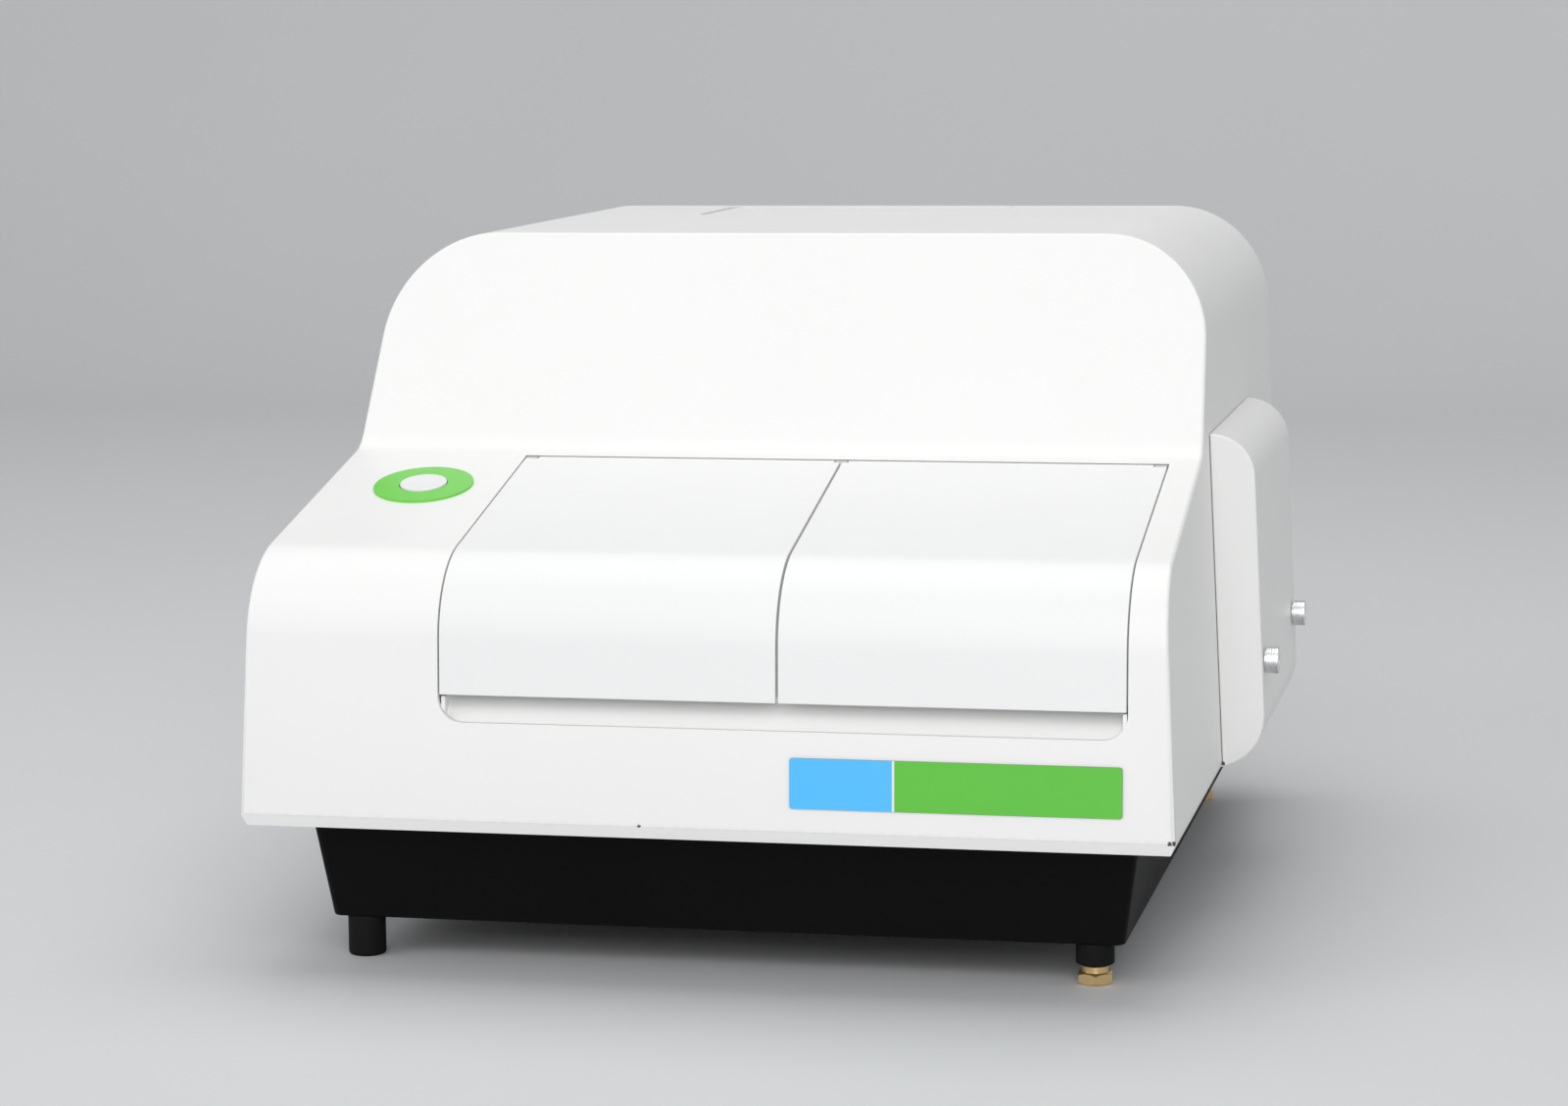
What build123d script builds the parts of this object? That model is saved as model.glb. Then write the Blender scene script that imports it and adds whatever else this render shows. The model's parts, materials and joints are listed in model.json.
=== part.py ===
from build123d import *
import os
from math import atan2, cos, sin

# ---------------------------------------------------------------- driving sizes (mm)
# X runs to the reader's right seen from its front, Y to its back, Z up from the bench.

# Cover: one bent and moulded shell
cover_width = 448.0
cover_depth = 550.0
region_reach = 25.0             # how far a region of the outline runs past the front
cover_top_z = 343.5
cover_sheet = 3.0
wall_lean = 0.0435              # every upright wall leans inwards by this much per mm of height
fold_z = 79.5                   # widest line, where the bottom lip turns in
lip_drop = 6.2
lip_inset = 2.5
nose_z = 197.7                  # corner between the front wall and the sloped panel
nose_radius = 44.0
step_y = -100.2                 # corner between the sloped panel and the upper face
step_z = 237.7
step_radius = 20.0
brow_y = -33.5                  # front edge of the flat top
rear_top_radius = 4.0
shoulder_radius = 54.0          # long side edges of the top
front_edge_radius = 2.0

# Doors and the finger scoop under them
seam_x = 38.4                   # line between the two doors
door_width = 162.7
door_bottom_z = 139.0
door_sheet = 3.0
door_gap = 0.8
door_seam_gap = 1.2
scoop_bottom_z = 126.0
scoop_corner_radius = 12.0
mouth_cut_depth = 20.0
scoop_back_y = 17.0 - cover_depth / 2
scoop_rise = 11.5
scoop_sheet = 2.0
scoop_flange = 8.0
scoop_top_z = 141.5

# Door hinge
hinge_drop = 14.2               # hinge axis down the slope from the step corner
barrel_radius = 3.0
pin_radius = 1.25
overcut = 1.0                    # how far a cut runs past the face that it opens
seam_edge = 1.0                  # small chamfers and corners of turned and moulded pieces
running_clearance = 0.05
lug_width = 6.0
knuckle_gap = 0.5
frame_sheet = 3.0
seat_gap = 0.3                  # between curved skins that lie on each other
frame_margin = 9.0
frame_foot_z = 118.0
frame_rear_y = -88.0
scoop_clear_depth = 10.0
bay_overlap = 1.8               # how far the frame laps behind a door's edge
mullion_half = 10.5
rib_half = 4.0
rib_depth = 20.0
rib_back = 42.6
rib_drop = 71.0

# Load button on the sloped panel
button_x = -165.5
button_y = -157.5
button_radius = 11.75
button_proud = 0.8
button_travel = 1.5
button_edge = 0.5
button_clearance = 0.35
button_skirt_radius = 14.0
button_skirt = 2.0
button_stem_radius = 4.0
ring_radius = 25.0
ring_thickness = 1.2
guide_radius = 18.0
guide_depth = 12.0
button_guide_gap = 0.1
switch_depth = 10.0
switch_width = 20.0

# Nameplate
plate_left_x = 44.5
plate_right_x = 199.7
plate_low_z = 90.2
plate_high_z = 114.0
plate_thickness = 0.8
plate_corner = 1.5

# Lid in the top
lid_centre_x = -13.5
lid_centre_y = cover_depth / 2 - 74.0
lid_width = 167.0
lid_length = 96.0
lid_corner = 8.0
lid_gap = 0.6
lid_thickness = 2.0
lid_sink = 0.8
lid_flange = 5.0

# Base, chassis and feet
base_bottom_z = 20.1
base_half_width = 194.8
base_front_y = -228.5
base_rear_y = 248.0
base_flare = 0.15
base_sheet = 2.5
base_corner = 5.0
chassis_thickness = 3.0
chassis_inset = 1.0
foot_x = 179.9
front_foot_y = -219.9
rear_foot_y = 232.0
foot_radius = 9.2
sleeve_bottom_z = 9.6
level_hex_across = 16.0
level_hex_height = 6.0
level_collar_radius = 6.5
level_collar_height = 3.0
level_stud_radius = 4.0

# Deck that carries the plate transports
deck_thickness = 6.0
deck_top_z = 124.0
deck_left_x = -150.0
deck_right_x = 215.0
deck_front_y = -246.0
deck_rear_y = 128.0
post_radius = 6.0
post_inset = 14.0
post_rows = 3

# Plate carriers
plate_length = 127.76
plate_breadth = 85.48
pocket_clearance = 0.5
rim_width = 7.0
rim_height = 5.0
tray_bottom_z = 144.0
tray_floor = 4.0
tray_ledge = 8.0
tray_corner = 4.0
notch_width = 32.0
carrier_rest_y = -70.0
arm_width = 14.0
arm_spread = 52.0
arm_thickness = 5.0
tail_y = 105.0
tail_length = 14.0
runner_length = 60.0
runner_width = 24.0
runner_bottom_z = 127.0
rail_width = 12.0
rail_height = 10.0
rail_front_y = -240.0
rail_rear_y = 112.0
slide_gap = 0.3

# Lead screws, their bearings and the stepper motors
screw_radius = 4.0
screw_z = 135.5
screw_front_y = -238.0
nut_width = 22.0
nut_wall = 3.0
bearing_thickness = 8.0
bearing_width = 24.0
motor_size = 42.0
motor_length = 38.0
motor_corner = 4.0

# Gantry over the plates
gantry_front_y = 0.0
beam_depth = 20.0
beam_bottom_z = 250.0
beam_height = 25.0
gantry_wall = 12.0
gantry_wall_front_y = -30.0
gantry_wall_rear_y = 52.0
gantry_wall_top_z = 284.0
gantry_left_x = -148.0
gantry_right_x = 212.0
gantry_screw_radius = 3.0
gantry_screw_z = 263.0
pipettor_screw_y = -15.0
head_screw_y = 36.0
carriage_width = 36.0
carriage_bottom_z = 243.0
carriage_top_z = 283.0
carriage_front_y = -29.0
carriage_gap = 0.5
arm_reach_y = -76.0
arm_height = 3.5
needle_stroke = 10.0
needle_y = -63.8
holder_radius = 5.0
holder_bottom_z = 186.0
holder_top_z = carriage_bottom_z + arm_height + needle_stroke + carriage_gap
holder_cap_radius = 5.8
holder_cap = 1.2
needle_radius = 0.9
needle_tip_z = 174.0
head_width = 50.0
head_bottom_z = 216.0
head_arm_height = 24.0
head_front_y = -58.0
head_rear_y = 50.0
tube_radius = 12.0
tube_y = -44.0
tube_bottom_z = 168.0
lens_radius = 8.0
lens_thickness = 3.0

# Side box with the filter wheels
box_front_y = -70.0
box_rear_y = 122.0
box_low_z = 76.0
box_high_z = 245.6
box_face_x = 246.2              # outer face at the fold height
box_sheet = 2.5
box_top_radius = 22.0
box_bottom_radius = 27.0
box_edge_radius = 1.2
box_wall_gap = 0.3
wheel_radius = 42.0
wheel_thickness = 5.0
wheel_x = 230.5
wheel_z = 165.0
wheel_front_y = -20.0
wheel_spacing = 88.0
wheel_hub_radius = 9.0
wheel_hub_height = 2.5
filter_count = 8
filter_radius = 8.0
filter_pitch_radius = 30.0
filter_clearance = 0.05
wheel_shaft_radius = 2.5
wheel_motor_radius = 18.0
window_margin = 2.0
optics_thickness = 2.6
optics_top_z = 209.0
thumb_z = 130.0
thumb_front_y = -57.0
thumb_rear_y = 104.0
thumb_radius = 6.75
thumb_height = 7.3
thumb_shank_radius = 2.5
thumb_clearance = 0.1

# Lamp, detector, pump
lamp_size_x = 52.0
lamp_front_y = 58.0
lamp_rear_y = 118.0
lamp_low_z = 160.0
lamp_high_z = 209.0
lamp_fin_count = 6
lamp_fin_depth = 6.0
detector_radius = 20.0
detector_length = 60.0
pump_x = -182.0
pump_y = 100.0
pump_width = 44.0
pump_depth = 40.0
pump_height = 140.0
pump_corner = 3.0
syringe_radius = 8.0
syringe_wall = 1.6
syringe_length = 66.0
syringe_reach = 14.0
plunger_rod_radius = 2.0
clip_height = 8.0
clip_wall = 3.0

# Power supply and main board in the base
supply_width = 130.0
supply_length = 170.0
supply_height = 42.0
board_width = 180.0
board_length = 190.0
board_thickness = 1.6
board_standoff = 7.0
chip_pitch_x = 45.0
chip_pitch_y = 47.0
chip_width = 22.0
chip_length = 24.0
chip_rows = 3

# Rear panel and what it carries
panel_half_width = 142.0
panel_low_z = 96.0
panel_high_z = 296.0
panel_sheet = 2.0
rear_window_margin = 9.0
window_cut_depth = 60.0
fan_size = 80.0
fan_depth = 25.0
fan_across = -72.0
fan_up = 18.0
fan_hub_radius = 17.0
fan_blade_radius = 36.5
fan_bore_radius = 38.0
fan_blade_count = 7
fan_boss_radius = 15.0
fan_pin_radius = 3.0
rotor_gap = 1.0
blade_rise = 2.6
blade_height = 15.8
guard_wire = 1.6
guard_spoke_angles = (45, 135)
guard_ring_count = 4
inlet_across = 92.0
inlet_up = -52.0
inlet_width = 30.0
inlet_height = 48.0
inlet_depth = 26.0
inlet_socket_width = 24.0
inlet_socket_height = 17.0
inlet_flange = 6.0
blade_pitch = 7.0
inlet_blades = 3
flange_thickness = 2.0
rocker_width = 14.0
rocker_height = 19.0
rocker_depth = 8.0
rocker_proud = 2.2
rocker_pin_radius = 1.5
rocker_foot_front = 3.4
rocker_foot_rear = 5.1
port_width = 17.0
port_height = 13.0
port_depth = 14.0
port_across = 20.0
port_up = -52.0
port_spacing = 26.0
panel_screw_radius = 3.4
panel_screw_height = 2.0
panel_screw_shank = 1.6

# ---------------------------------------------------------------- worked-out places
knob_tip_x = box_face_x - wall_lean * (thumb_z - fold_z) + thumb_height
centre_x = -(knob_tip_x - cover_width / 2) / 2
nose_y = -cover_depth / 2 + wall_lean * (nose_z - fold_z)
slope_angle = atan2(step_z - nose_z, step_y - nose_y)
right_cut_x = cover_width / 4            # cuts and the side box start inside the cover
right_cut_length = cover_width / 3
hinge_y = step_y - hinge_drop * cos(slope_angle) + barrel_radius * sin(slope_angle)
hinge_z = step_z - hinge_drop * sin(slope_angle) - barrel_radius * cos(slope_angle)
door_left_x = seam_x - door_width
door_right_x = seam_x + door_width
left_bay_x = (door_left_x + bay_overlap + seam_x - mullion_half) / 2
right_bay_x = (door_right_x - bay_overlap + seam_x + mullion_half) / 2
bay_width = door_width - bay_overlap - mullion_half
motor_face_y = deck_rear_y + bearing_thickness
button_z = step_z - (step_y - button_y) * sin(slope_angle) / cos(slope_angle)
button_plane = Plane(
    origin=(button_x, button_y, button_z),
    x_dir=(1, 0, 0),
    z_dir=(0, -sin(slope_angle), cos(slope_angle)),
)
chassis_top_z = fold_z
chassis_bottom_z = chassis_top_z - chassis_thickness


def lean_at(z):
    """How far an upright wall has moved inwards at height z."""
    return wall_lean * (z - fold_z)


def front_at(z):
    """Y of the front wall's outer face."""
    return -cover_depth / 2 + lean_at(z)


def side_at(z):
    """X of the right wall's outer face."""
    return cover_width / 2 - lean_at(z)


def facing_right(x):
    """Plane across X: sketch in (y, z), extrude towards the right."""
    return Plane.YZ.offset(x)


def facing_front(y):
    """Plane across Y: sketch in (x, z), extrude towards the front."""
    return Plane.XZ.offset(-y)


def save(piece, label):
    """Put a finished piece in the assembly's frame, label it and write it."""
    placed = piece.moved(Location((centre_x, 0, 0)))
    placed.label = label
    export_step(placed, f"parts/{label}.step")


os.makedirs("parts", exist_ok=True)


# ---------------------------------------------------------------- the cover's two outlines
def side_outline(inset):
    """The cover seen from the side, drawn inset from its outer surface."""
    rear_top_y = cover_depth / 2 - lean_at(cover_top_z)
    with BuildSketch() as outline:
        with BuildLine():
            Polyline(
                (-cover_depth / 2 + lip_inset, fold_z - lip_drop),
                (-cover_depth / 2, fold_z),
                (nose_y, nose_z),
                (step_y, step_z),
                (brow_y, cover_top_z),
                (rear_top_y, cover_top_z),
                (cover_depth / 2, fold_z),
                (cover_depth / 2 - lip_inset, fold_z - lip_drop),
                close=True,
            )
        make_face()
        corners = [
            (nose_y, nose_z, nose_radius),
            (step_y, step_z, step_radius),
            (rear_top_y, cover_top_z, rear_top_radius),
        ]
        for y, z, radius in corners:
            fillet(outline.vertices().sort_by_distance((y, z, 0))[0], radius=radius)
        if inset > 0:
            offset(amount=-inset, kind=Kind.INTERSECTION)
    return outline.sketch


def front_outline(inset):
    """The cover seen from the front, drawn inset from its outer surface."""
    top_half = side_at(cover_top_z)
    with BuildSketch() as outline:
        with BuildLine():
            Polyline(
                (-cover_width / 2 + lip_inset, fold_z - lip_drop),
                (-cover_width / 2, fold_z),
                (-top_half, cover_top_z),
                (top_half, cover_top_z),
                (cover_width / 2, fold_z),
                (cover_width / 2 - lip_inset, fold_z - lip_drop),
                close=True,
            )
        make_face()
        for x in (-top_half, top_half):
            fillet(outline.vertices().sort_by_distance((x, cover_top_z, 0))[0], radius=shoulder_radius)
        if inset > 0:
            offset(amount=-inset, kind=Kind.INTERSECTION)
    return outline.sketch


def casing(inset):
    """Solid bounded by the cover's surface moved inwards by inset."""
    with BuildPart() as block:
        with BuildSketch(Plane.YZ):
            add(side_outline(inset))
        extrude(amount=cover_width, both=True)
        with BuildSketch(Plane.XZ):
            add(front_outline(inset))
        extrude(amount=cover_depth, both=True, mode=Mode.INTERSECT)
    return block.part


def skin_profile(outer_inset, inner_inset, region):
    """Strip of the side outline between two insets, inside a region of (y, z) corners."""
    with BuildSketch() as strip:
        add(side_outline(outer_inset))
        add(side_outline(inner_inset), mode=Mode.SUBTRACT)
        with BuildLine():
            Polyline(*region, close=True)
        make_face(mode=Mode.INTERSECT)
    return strip.sketch


# Region of the side outline that the doors fill, from their bottom edge to the hinge
normal_y = -sin(slope_angle)
normal_z = cos(slope_angle)
far_front_y = -cover_depth / 2 - region_reach


def front_region(low_z, top_y, top_z):
    """Corners round the front wall and the slope, ending square to the slope at a point."""
    return [
        (far_front_y, low_z),
        (nose_y + nose_radius, low_z),
        (top_y - region_reach * normal_y, top_z - region_reach * normal_z),
        (top_y + region_reach * normal_y, top_z + region_reach * normal_z),
        (far_front_y, cover_top_z),
    ]


# Rear panel's own plane: local x runs to the reader's left, local y up, z out of the panel
panel_inset = cover_sheet + seat_gap
panel_middle_z = (panel_low_z + panel_high_z) / 2
panel_middle_y = cover_depth / 2 - lean_at(panel_middle_z) - panel_inset
panel_plane = Plane(
    origin=(0, panel_middle_y, panel_middle_z), x_dir=(-1, 0, 0), z_dir=(0, 1, wall_lean)
)
cover_rear_plane = panel_plane.offset(panel_inset)
screw_across = 2 * panel_half_width - rear_window_margin
screw_up = panel_high_z - panel_low_z - rear_window_margin


# ---------------------------------------------------------------- cover shell
with BuildPart() as cover_shell:
    add(casing(0))
    ahead = cover_shell.edges().filter_by(lambda edge: edge.bounding_box().max.Y < nose_y + nose_radius)
    upright = ahead.filter_by(lambda edge: edge.bounding_box().size.Z > nose_radius / 2)
    fillet(upright, radius=front_edge_radius)
    add(casing(cover_sheet), mode=Mode.SUBTRACT)
    with BuildSketch(Plane.XY.offset(fold_z - lip_drop)):
        mouth = 2 * (lip_inset + cover_sheet)
        Rectangle(cover_width - mouth, cover_depth - mouth)
    extrude(amount=lip_drop + cover_sheet, mode=Mode.SUBTRACT)
    # opening for both doors
    with BuildSketch(facing_right(door_left_x - door_gap)):
        with BuildLine():
            Polyline(*front_region(door_bottom_z, hinge_y, hinge_z), close=True)
        make_face()
        with Locations((hinge_y, hinge_z)):
            Circle(barrel_radius + door_gap)
    extrude(amount=2 * (door_width + door_gap), mode=Mode.SUBTRACT)
    # mouth of the finger scoop
    with BuildSketch(facing_front(front_at(fold_z) - 1)) as mouth_outline:
        with BuildLine():
            Polyline(
                (door_left_x - door_gap, scoop_bottom_z),
                (door_right_x + door_gap, scoop_bottom_z),
                (door_right_x + door_gap, door_bottom_z + 1),
                (door_left_x - door_gap, door_bottom_z + 1),
                close=True,
            )
        make_face()
        fillet(mouth_outline.vertices().group_by(Axis.Y)[0], radius=scoop_corner_radius)
    extrude(amount=-mouth_cut_depth, mode=Mode.SUBTRACT)
    # button hole
    with BuildSketch(button_plane):
        Circle(button_skirt_radius + button_clearance)
    extrude(amount=2 * cover_sheet, both=True, mode=Mode.SUBTRACT)
    # opening for the top lid
    with BuildSketch(Plane.XY.offset(cover_top_z + overcut)):
        with Locations((lid_centre_x, lid_centre_y)):
            RectangleRounded(lid_width + 2 * lid_gap, lid_length + 2 * lid_gap, lid_corner)
    extrude(amount=-cover_sheet - 2 * overcut, mode=Mode.SUBTRACT)
    # window behind the side box
    with BuildSketch(facing_right(right_cut_x)):
        with Locations((wheel_front_y + wheel_spacing / 2, wheel_z)):
            Rectangle(
                wheel_spacing + 2 * (wheel_radius + window_margin),
                2 * (wheel_radius + window_margin),
            )
    extrude(amount=right_cut_length, mode=Mode.SUBTRACT)
    # threaded holes for the thumb screws
    with BuildSketch(facing_right(right_cut_x)):
        with Locations((thumb_front_y, thumb_z), (thumb_rear_y, thumb_z)):
            Circle(thumb_shank_radius + thumb_clearance)
    extrude(amount=right_cut_length, mode=Mode.SUBTRACT)
    # window for the rear panel
    with BuildSketch(facing_front(cover_depth / 2 + 1)):
        with Locations((0, (panel_low_z + panel_high_z) / 2)):
            RectangleRounded(
                2 * (panel_half_width - rear_window_margin),
                panel_high_z - panel_low_z - 2 * rear_window_margin,
                lid_corner,
            )
    extrude(amount=window_cut_depth, mode=Mode.SUBTRACT)
    # recessed screws hold the rear panel
    with BuildSketch(cover_rear_plane):
        with GridLocations(screw_across, screw_up, 2, 2):
            Circle(panel_screw_radius + running_clearance)
    extrude(amount=-panel_screw_height, mode=Mode.SUBTRACT)
    with BuildSketch(cover_rear_plane):
        with GridLocations(screw_across, screw_up, 2, 2):
            Circle(panel_screw_shank + running_clearance)
    extrude(amount=-panel_inset, mode=Mode.SUBTRACT)
save(cover_shell.part, "cover_shell")


# ---------------------------------------------------------------- doors and their frame
door_skin = skin_profile(0, door_sheet, front_region(door_bottom_z, hinge_y, hinge_z))
frame_region = [
    (far_front_y, frame_foot_z),
    (nose_y + nose_radius, frame_foot_z),
    (frame_rear_y, step_z - 2 * step_radius),
    (frame_rear_y, cover_top_z),
    (far_front_y, cover_top_z),
]
frame_skin = skin_profile(
    cover_sheet + seat_gap, cover_sheet + seat_gap + frame_sheet, frame_region
)
web_corners = [
    (-2 * barrel_radius, seat_gap),
    (2 * barrel_radius, seat_gap),
    (2 * barrel_radius, seat_gap + frame_sheet),
    (-2 * barrel_radius, seat_gap + frame_sheet),
]
lug_starts = [
    door_left_x,
    seam_x - lug_width / 2,
    door_right_x - lug_width,
]


def make_door(low_x, high_x):
    """One door: a curved panel with a hinge barrel along its top edge."""
    with BuildPart() as door:
        with BuildSketch(facing_right(low_x)):
            add(door_skin)
            with Locations((hinge_y, hinge_z)):
                Circle(barrel_radius)
                Circle(pin_radius + running_clearance, mode=Mode.SUBTRACT)
        extrude(amount=high_x - low_x)
        for start in lug_starts:
            with BuildSketch(facing_right(start - knuckle_gap)):
                with Locations((hinge_y, hinge_z)):
                    Circle(barrel_radius + knuckle_gap)
            extrude(amount=lug_width + 2 * knuckle_gap, mode=Mode.SUBTRACT)
    return door.part


left_door = make_door(door_left_x, seam_x - door_seam_gap / 2)
save(left_door, "left_door")
right_door = make_door(seam_x + door_seam_gap / 2, door_right_x)
save(right_door, "right_door")

with BuildPart() as door_frame:
    frame_left_x = door_left_x - frame_margin
    frame_right_x = door_right_x + frame_margin
    with BuildSketch(facing_right(frame_left_x)):
        add(frame_skin)
    extrude(amount=frame_right_x - frame_left_x)
    # the two bays, open from the foot to the hinge
    for bay_x in (left_bay_x, right_bay_x):
        with BuildSketch(facing_right(bay_x - bay_width / 2)):
            with BuildLine():
                Polyline(*front_region(frame_foot_z - 1, hinge_y, hinge_z), close=True)
            make_face()
        extrude(amount=bay_width, mode=Mode.SUBTRACT)
    # nothing of the frame stands in front of the scoop
    with BuildSketch(facing_right(door_left_x - door_gap)):
        with Locations((front_at(scoop_top_z), frame_foot_z)):
            Rectangle(2 * scoop_clear_depth, 2 * (scoop_top_z + seat_gap - frame_foot_z))
    extrude(amount=2 * (door_width + door_gap), mode=Mode.SUBTRACT)
    # groove for the hinge barrels
    with BuildSketch(facing_right(door_left_x - knuckle_gap)):
        with Locations((hinge_y, hinge_z)):
            Circle(barrel_radius + knuckle_gap)
    extrude(amount=2 * door_width + 2 * knuckle_gap, mode=Mode.SUBTRACT)
    # lugs that hold the pin
    for start in lug_starts:
        with BuildSketch(facing_right(start)):
            with Locations((hinge_y, hinge_z)):
                Circle(barrel_radius)
            with BuildLine():
                Polyline(
                    *[
                        (
                            hinge_y + along * cos(slope_angle) - depth * normal_y,
                            hinge_z + along * sin(slope_angle) - depth * normal_z,
                        )
                        for along, depth in web_corners
                    ],
                    close=True,
                )
            make_face()
        extrude(amount=lug_width)
    # rib behind the seam, standing on the scoop
    rib_outer = cover_sheet + seat_gap
    rib_rear_y = step_y - rib_back
    rib_rear_z = step_z - rib_drop
    rib_region = [
        (far_front_y, scoop_top_z),
        (scoop_back_y, scoop_top_z),
        (scoop_back_y, nose_z - nose_radius),
        (rib_rear_y, rib_rear_z),
        (rib_rear_y, cover_top_z),
        (far_front_y, cover_top_z),
    ]
    with BuildSketch(facing_right(seam_x - rib_half)):
        add(skin_profile(rib_outer, rib_outer + rib_depth, rib_region))
    extrude(amount=2 * rib_half)
    with BuildSketch(facing_right(frame_left_x - 1)):
        with Locations((hinge_y, hinge_z)):
            Circle(pin_radius + running_clearance)
    extrude(amount=frame_right_x - frame_left_x + 2, mode=Mode.SUBTRACT)
save(door_frame.part, "door_frame")

with BuildPart() as hinge_pin:
    with BuildSketch(facing_right(door_left_x)):
        with Locations((hinge_y, hinge_z)):
            Circle(pin_radius)
    extrude(amount=2 * door_width)
save(hinge_pin.part, "hinge_pin")

# ---------------------------------------------------------------- finger scoop
with BuildPart() as finger_scoop:
    scoop_front_y = front_at(scoop_bottom_z) + cover_sheet + seat_gap
    scoop_wall_y = scoop_back_y - scoop_sheet
    scoop_floor_z = scoop_bottom_z + scoop_rise
    flange_low_z = scoop_bottom_z - scoop_flange
    with BuildSketch(facing_right(door_left_x)):
        with BuildLine():
            Polyline(
                (scoop_front_y, scoop_bottom_z),
                (scoop_wall_y, scoop_floor_z),
                (scoop_wall_y, scoop_top_z),
                (scoop_back_y, scoop_top_z),
                (scoop_back_y, scoop_floor_z - scoop_sheet),
                (scoop_front_y + scoop_sheet, scoop_bottom_z - scoop_sheet),
                (scoop_front_y + scoop_sheet, flange_low_z),
                (scoop_front_y, flange_low_z),
                close=True,
            )
        make_face()
    extrude(amount=2 * door_width)
    for end_x in (door_left_x, door_right_x - scoop_sheet):
        with BuildSketch(facing_right(end_x)):
            with BuildLine():
                Polyline(
                    (scoop_front_y, scoop_bottom_z - scoop_sheet),
                    (scoop_front_y, door_bottom_z - 1),
                    (scoop_front_y + 2 * scoop_sheet, door_bottom_z - 1),
                    (scoop_back_y, scoop_top_z),
                    (scoop_back_y, scoop_floor_z - scoop_sheet),
                    close=True,
                )
            make_face()
        extrude(amount=scoop_sheet)
save(finger_scoop.part, "finger_scoop")

# ---------------------------------------------------------------- load button
with BuildPart() as load_ring:
    with BuildSketch(button_plane):
        Circle(ring_radius)
        Circle(button_radius + button_clearance, mode=Mode.SUBTRACT)
    extrude(amount=ring_thickness)
save(load_ring.part, "load_ring")

with BuildPart() as load_button:
    cap_top = ring_thickness + button_proud
    skirt_top = -cover_sheet / 2
    with BuildSketch(button_plane.offset(skirt_top)):
        Circle(button_radius)
    extrude(amount=cap_top - skirt_top)
    fillet(load_button.edges().sort_by(lambda edge: edge.distance_to(button_plane.origin))[-1], radius=button_edge)
    with BuildSketch(button_plane.offset(skirt_top)):
        Circle(button_skirt_radius)
    extrude(amount=-button_skirt)
    with BuildSketch(button_plane.offset(skirt_top - button_skirt)):
        Circle(button_stem_radius)
    guide_floor = -cover_sheet - button_guide_gap - guide_depth
    stem_length = skirt_top - button_skirt - guide_floor - button_travel - button_clearance
    extrude(amount=-stem_length)
save(load_button.part, "load_button")

with BuildPart() as button_guide:
    guide_top = -cover_sheet - button_guide_gap
    with BuildSketch(button_plane.offset(guide_top)):
        Circle(guide_radius)
        Circle(button_skirt_radius + button_clearance, mode=Mode.SUBTRACT)
    extrude(amount=-guide_depth)
    with BuildSketch(button_plane.offset(guide_top - guide_depth)):
        Circle(guide_radius)
    extrude(amount=-scoop_sheet)
save(button_guide.part, "button_guide")

with BuildPart() as button_switch:
    with BuildSketch(button_plane.offset(guide_top - guide_depth - scoop_sheet)):
        RectangleRounded(switch_width, switch_width / 2, 1)
    extrude(amount=-switch_depth)
save(button_switch.part, "button_switch")

# ---------------------------------------------------------------- nameplate and top lid
with BuildPart() as nameplate:
    middle_z = (plate_low_z + plate_high_z) / 2
    plate_plane = Plane(
        origin=((plate_left_x + plate_right_x) / 2, front_at(middle_z), middle_z),
        x_dir=(1, 0, 0),
        z_dir=(0, -1, wall_lean),
    )
    with BuildSketch(plate_plane):
        RectangleRounded(plate_right_x - plate_left_x, plate_high_z - plate_low_z, plate_corner)
    extrude(amount=plate_thickness)
save(nameplate.part, "nameplate")

with BuildPart() as top_lid:
    lid_top_z = cover_top_z - lid_sink
    with BuildSketch(Plane.XY.offset(lid_top_z)):
        with Locations((lid_centre_x, lid_centre_y)):
            RectangleRounded(lid_width, lid_length, lid_corner)
    extrude(amount=-(cover_sheet - lid_sink))
    with BuildSketch(Plane.XY.offset(cover_top_z - cover_sheet)):
        with Locations((lid_centre_x, lid_centre_y)):
            RectangleRounded(lid_width + 2 * lid_flange, lid_length + 2 * lid_flange, lid_corner)
    extrude(amount=-lid_thickness)
save(top_lid.part, "top_lid")

# ---------------------------------------------------------------- base, chassis and feet
base_depth = base_rear_y - base_front_y
base_middle_y = (base_rear_y + base_front_y) / 2


def base_block(inset, low_z, high_z):
    """Tapered block of the base, inset from its outer faces, between two heights."""
    with BuildPart() as block:
        for z in (low_z, high_z):
            spread = base_flare * (z - base_bottom_z) - inset
            with BuildSketch(Plane.XY.offset(z)):
                with Locations((0, base_middle_y)):
                    RectangleRounded(
                        2 * (base_half_width + spread), base_depth + 2 * spread, base_corner
                    )
        loft()
    return block.part


with BuildPart() as base_pan:
    add(base_block(0, base_bottom_z, chassis_bottom_z))
    add(
        base_block(base_sheet, base_bottom_z + base_sheet, chassis_bottom_z),
        mode=Mode.SUBTRACT,
    )
save(base_pan.part, "base_pan")

with BuildPart() as chassis_plate:
    with BuildSketch(Plane.XY.offset(chassis_bottom_z)):
        chassis_margin = 2 * (lip_inset + cover_sheet + chassis_inset)
        Rectangle(cover_width - chassis_margin, cover_depth - chassis_margin)
    extrude(amount=chassis_thickness)
save(chassis_plate.part, "chassis_plate")

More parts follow.
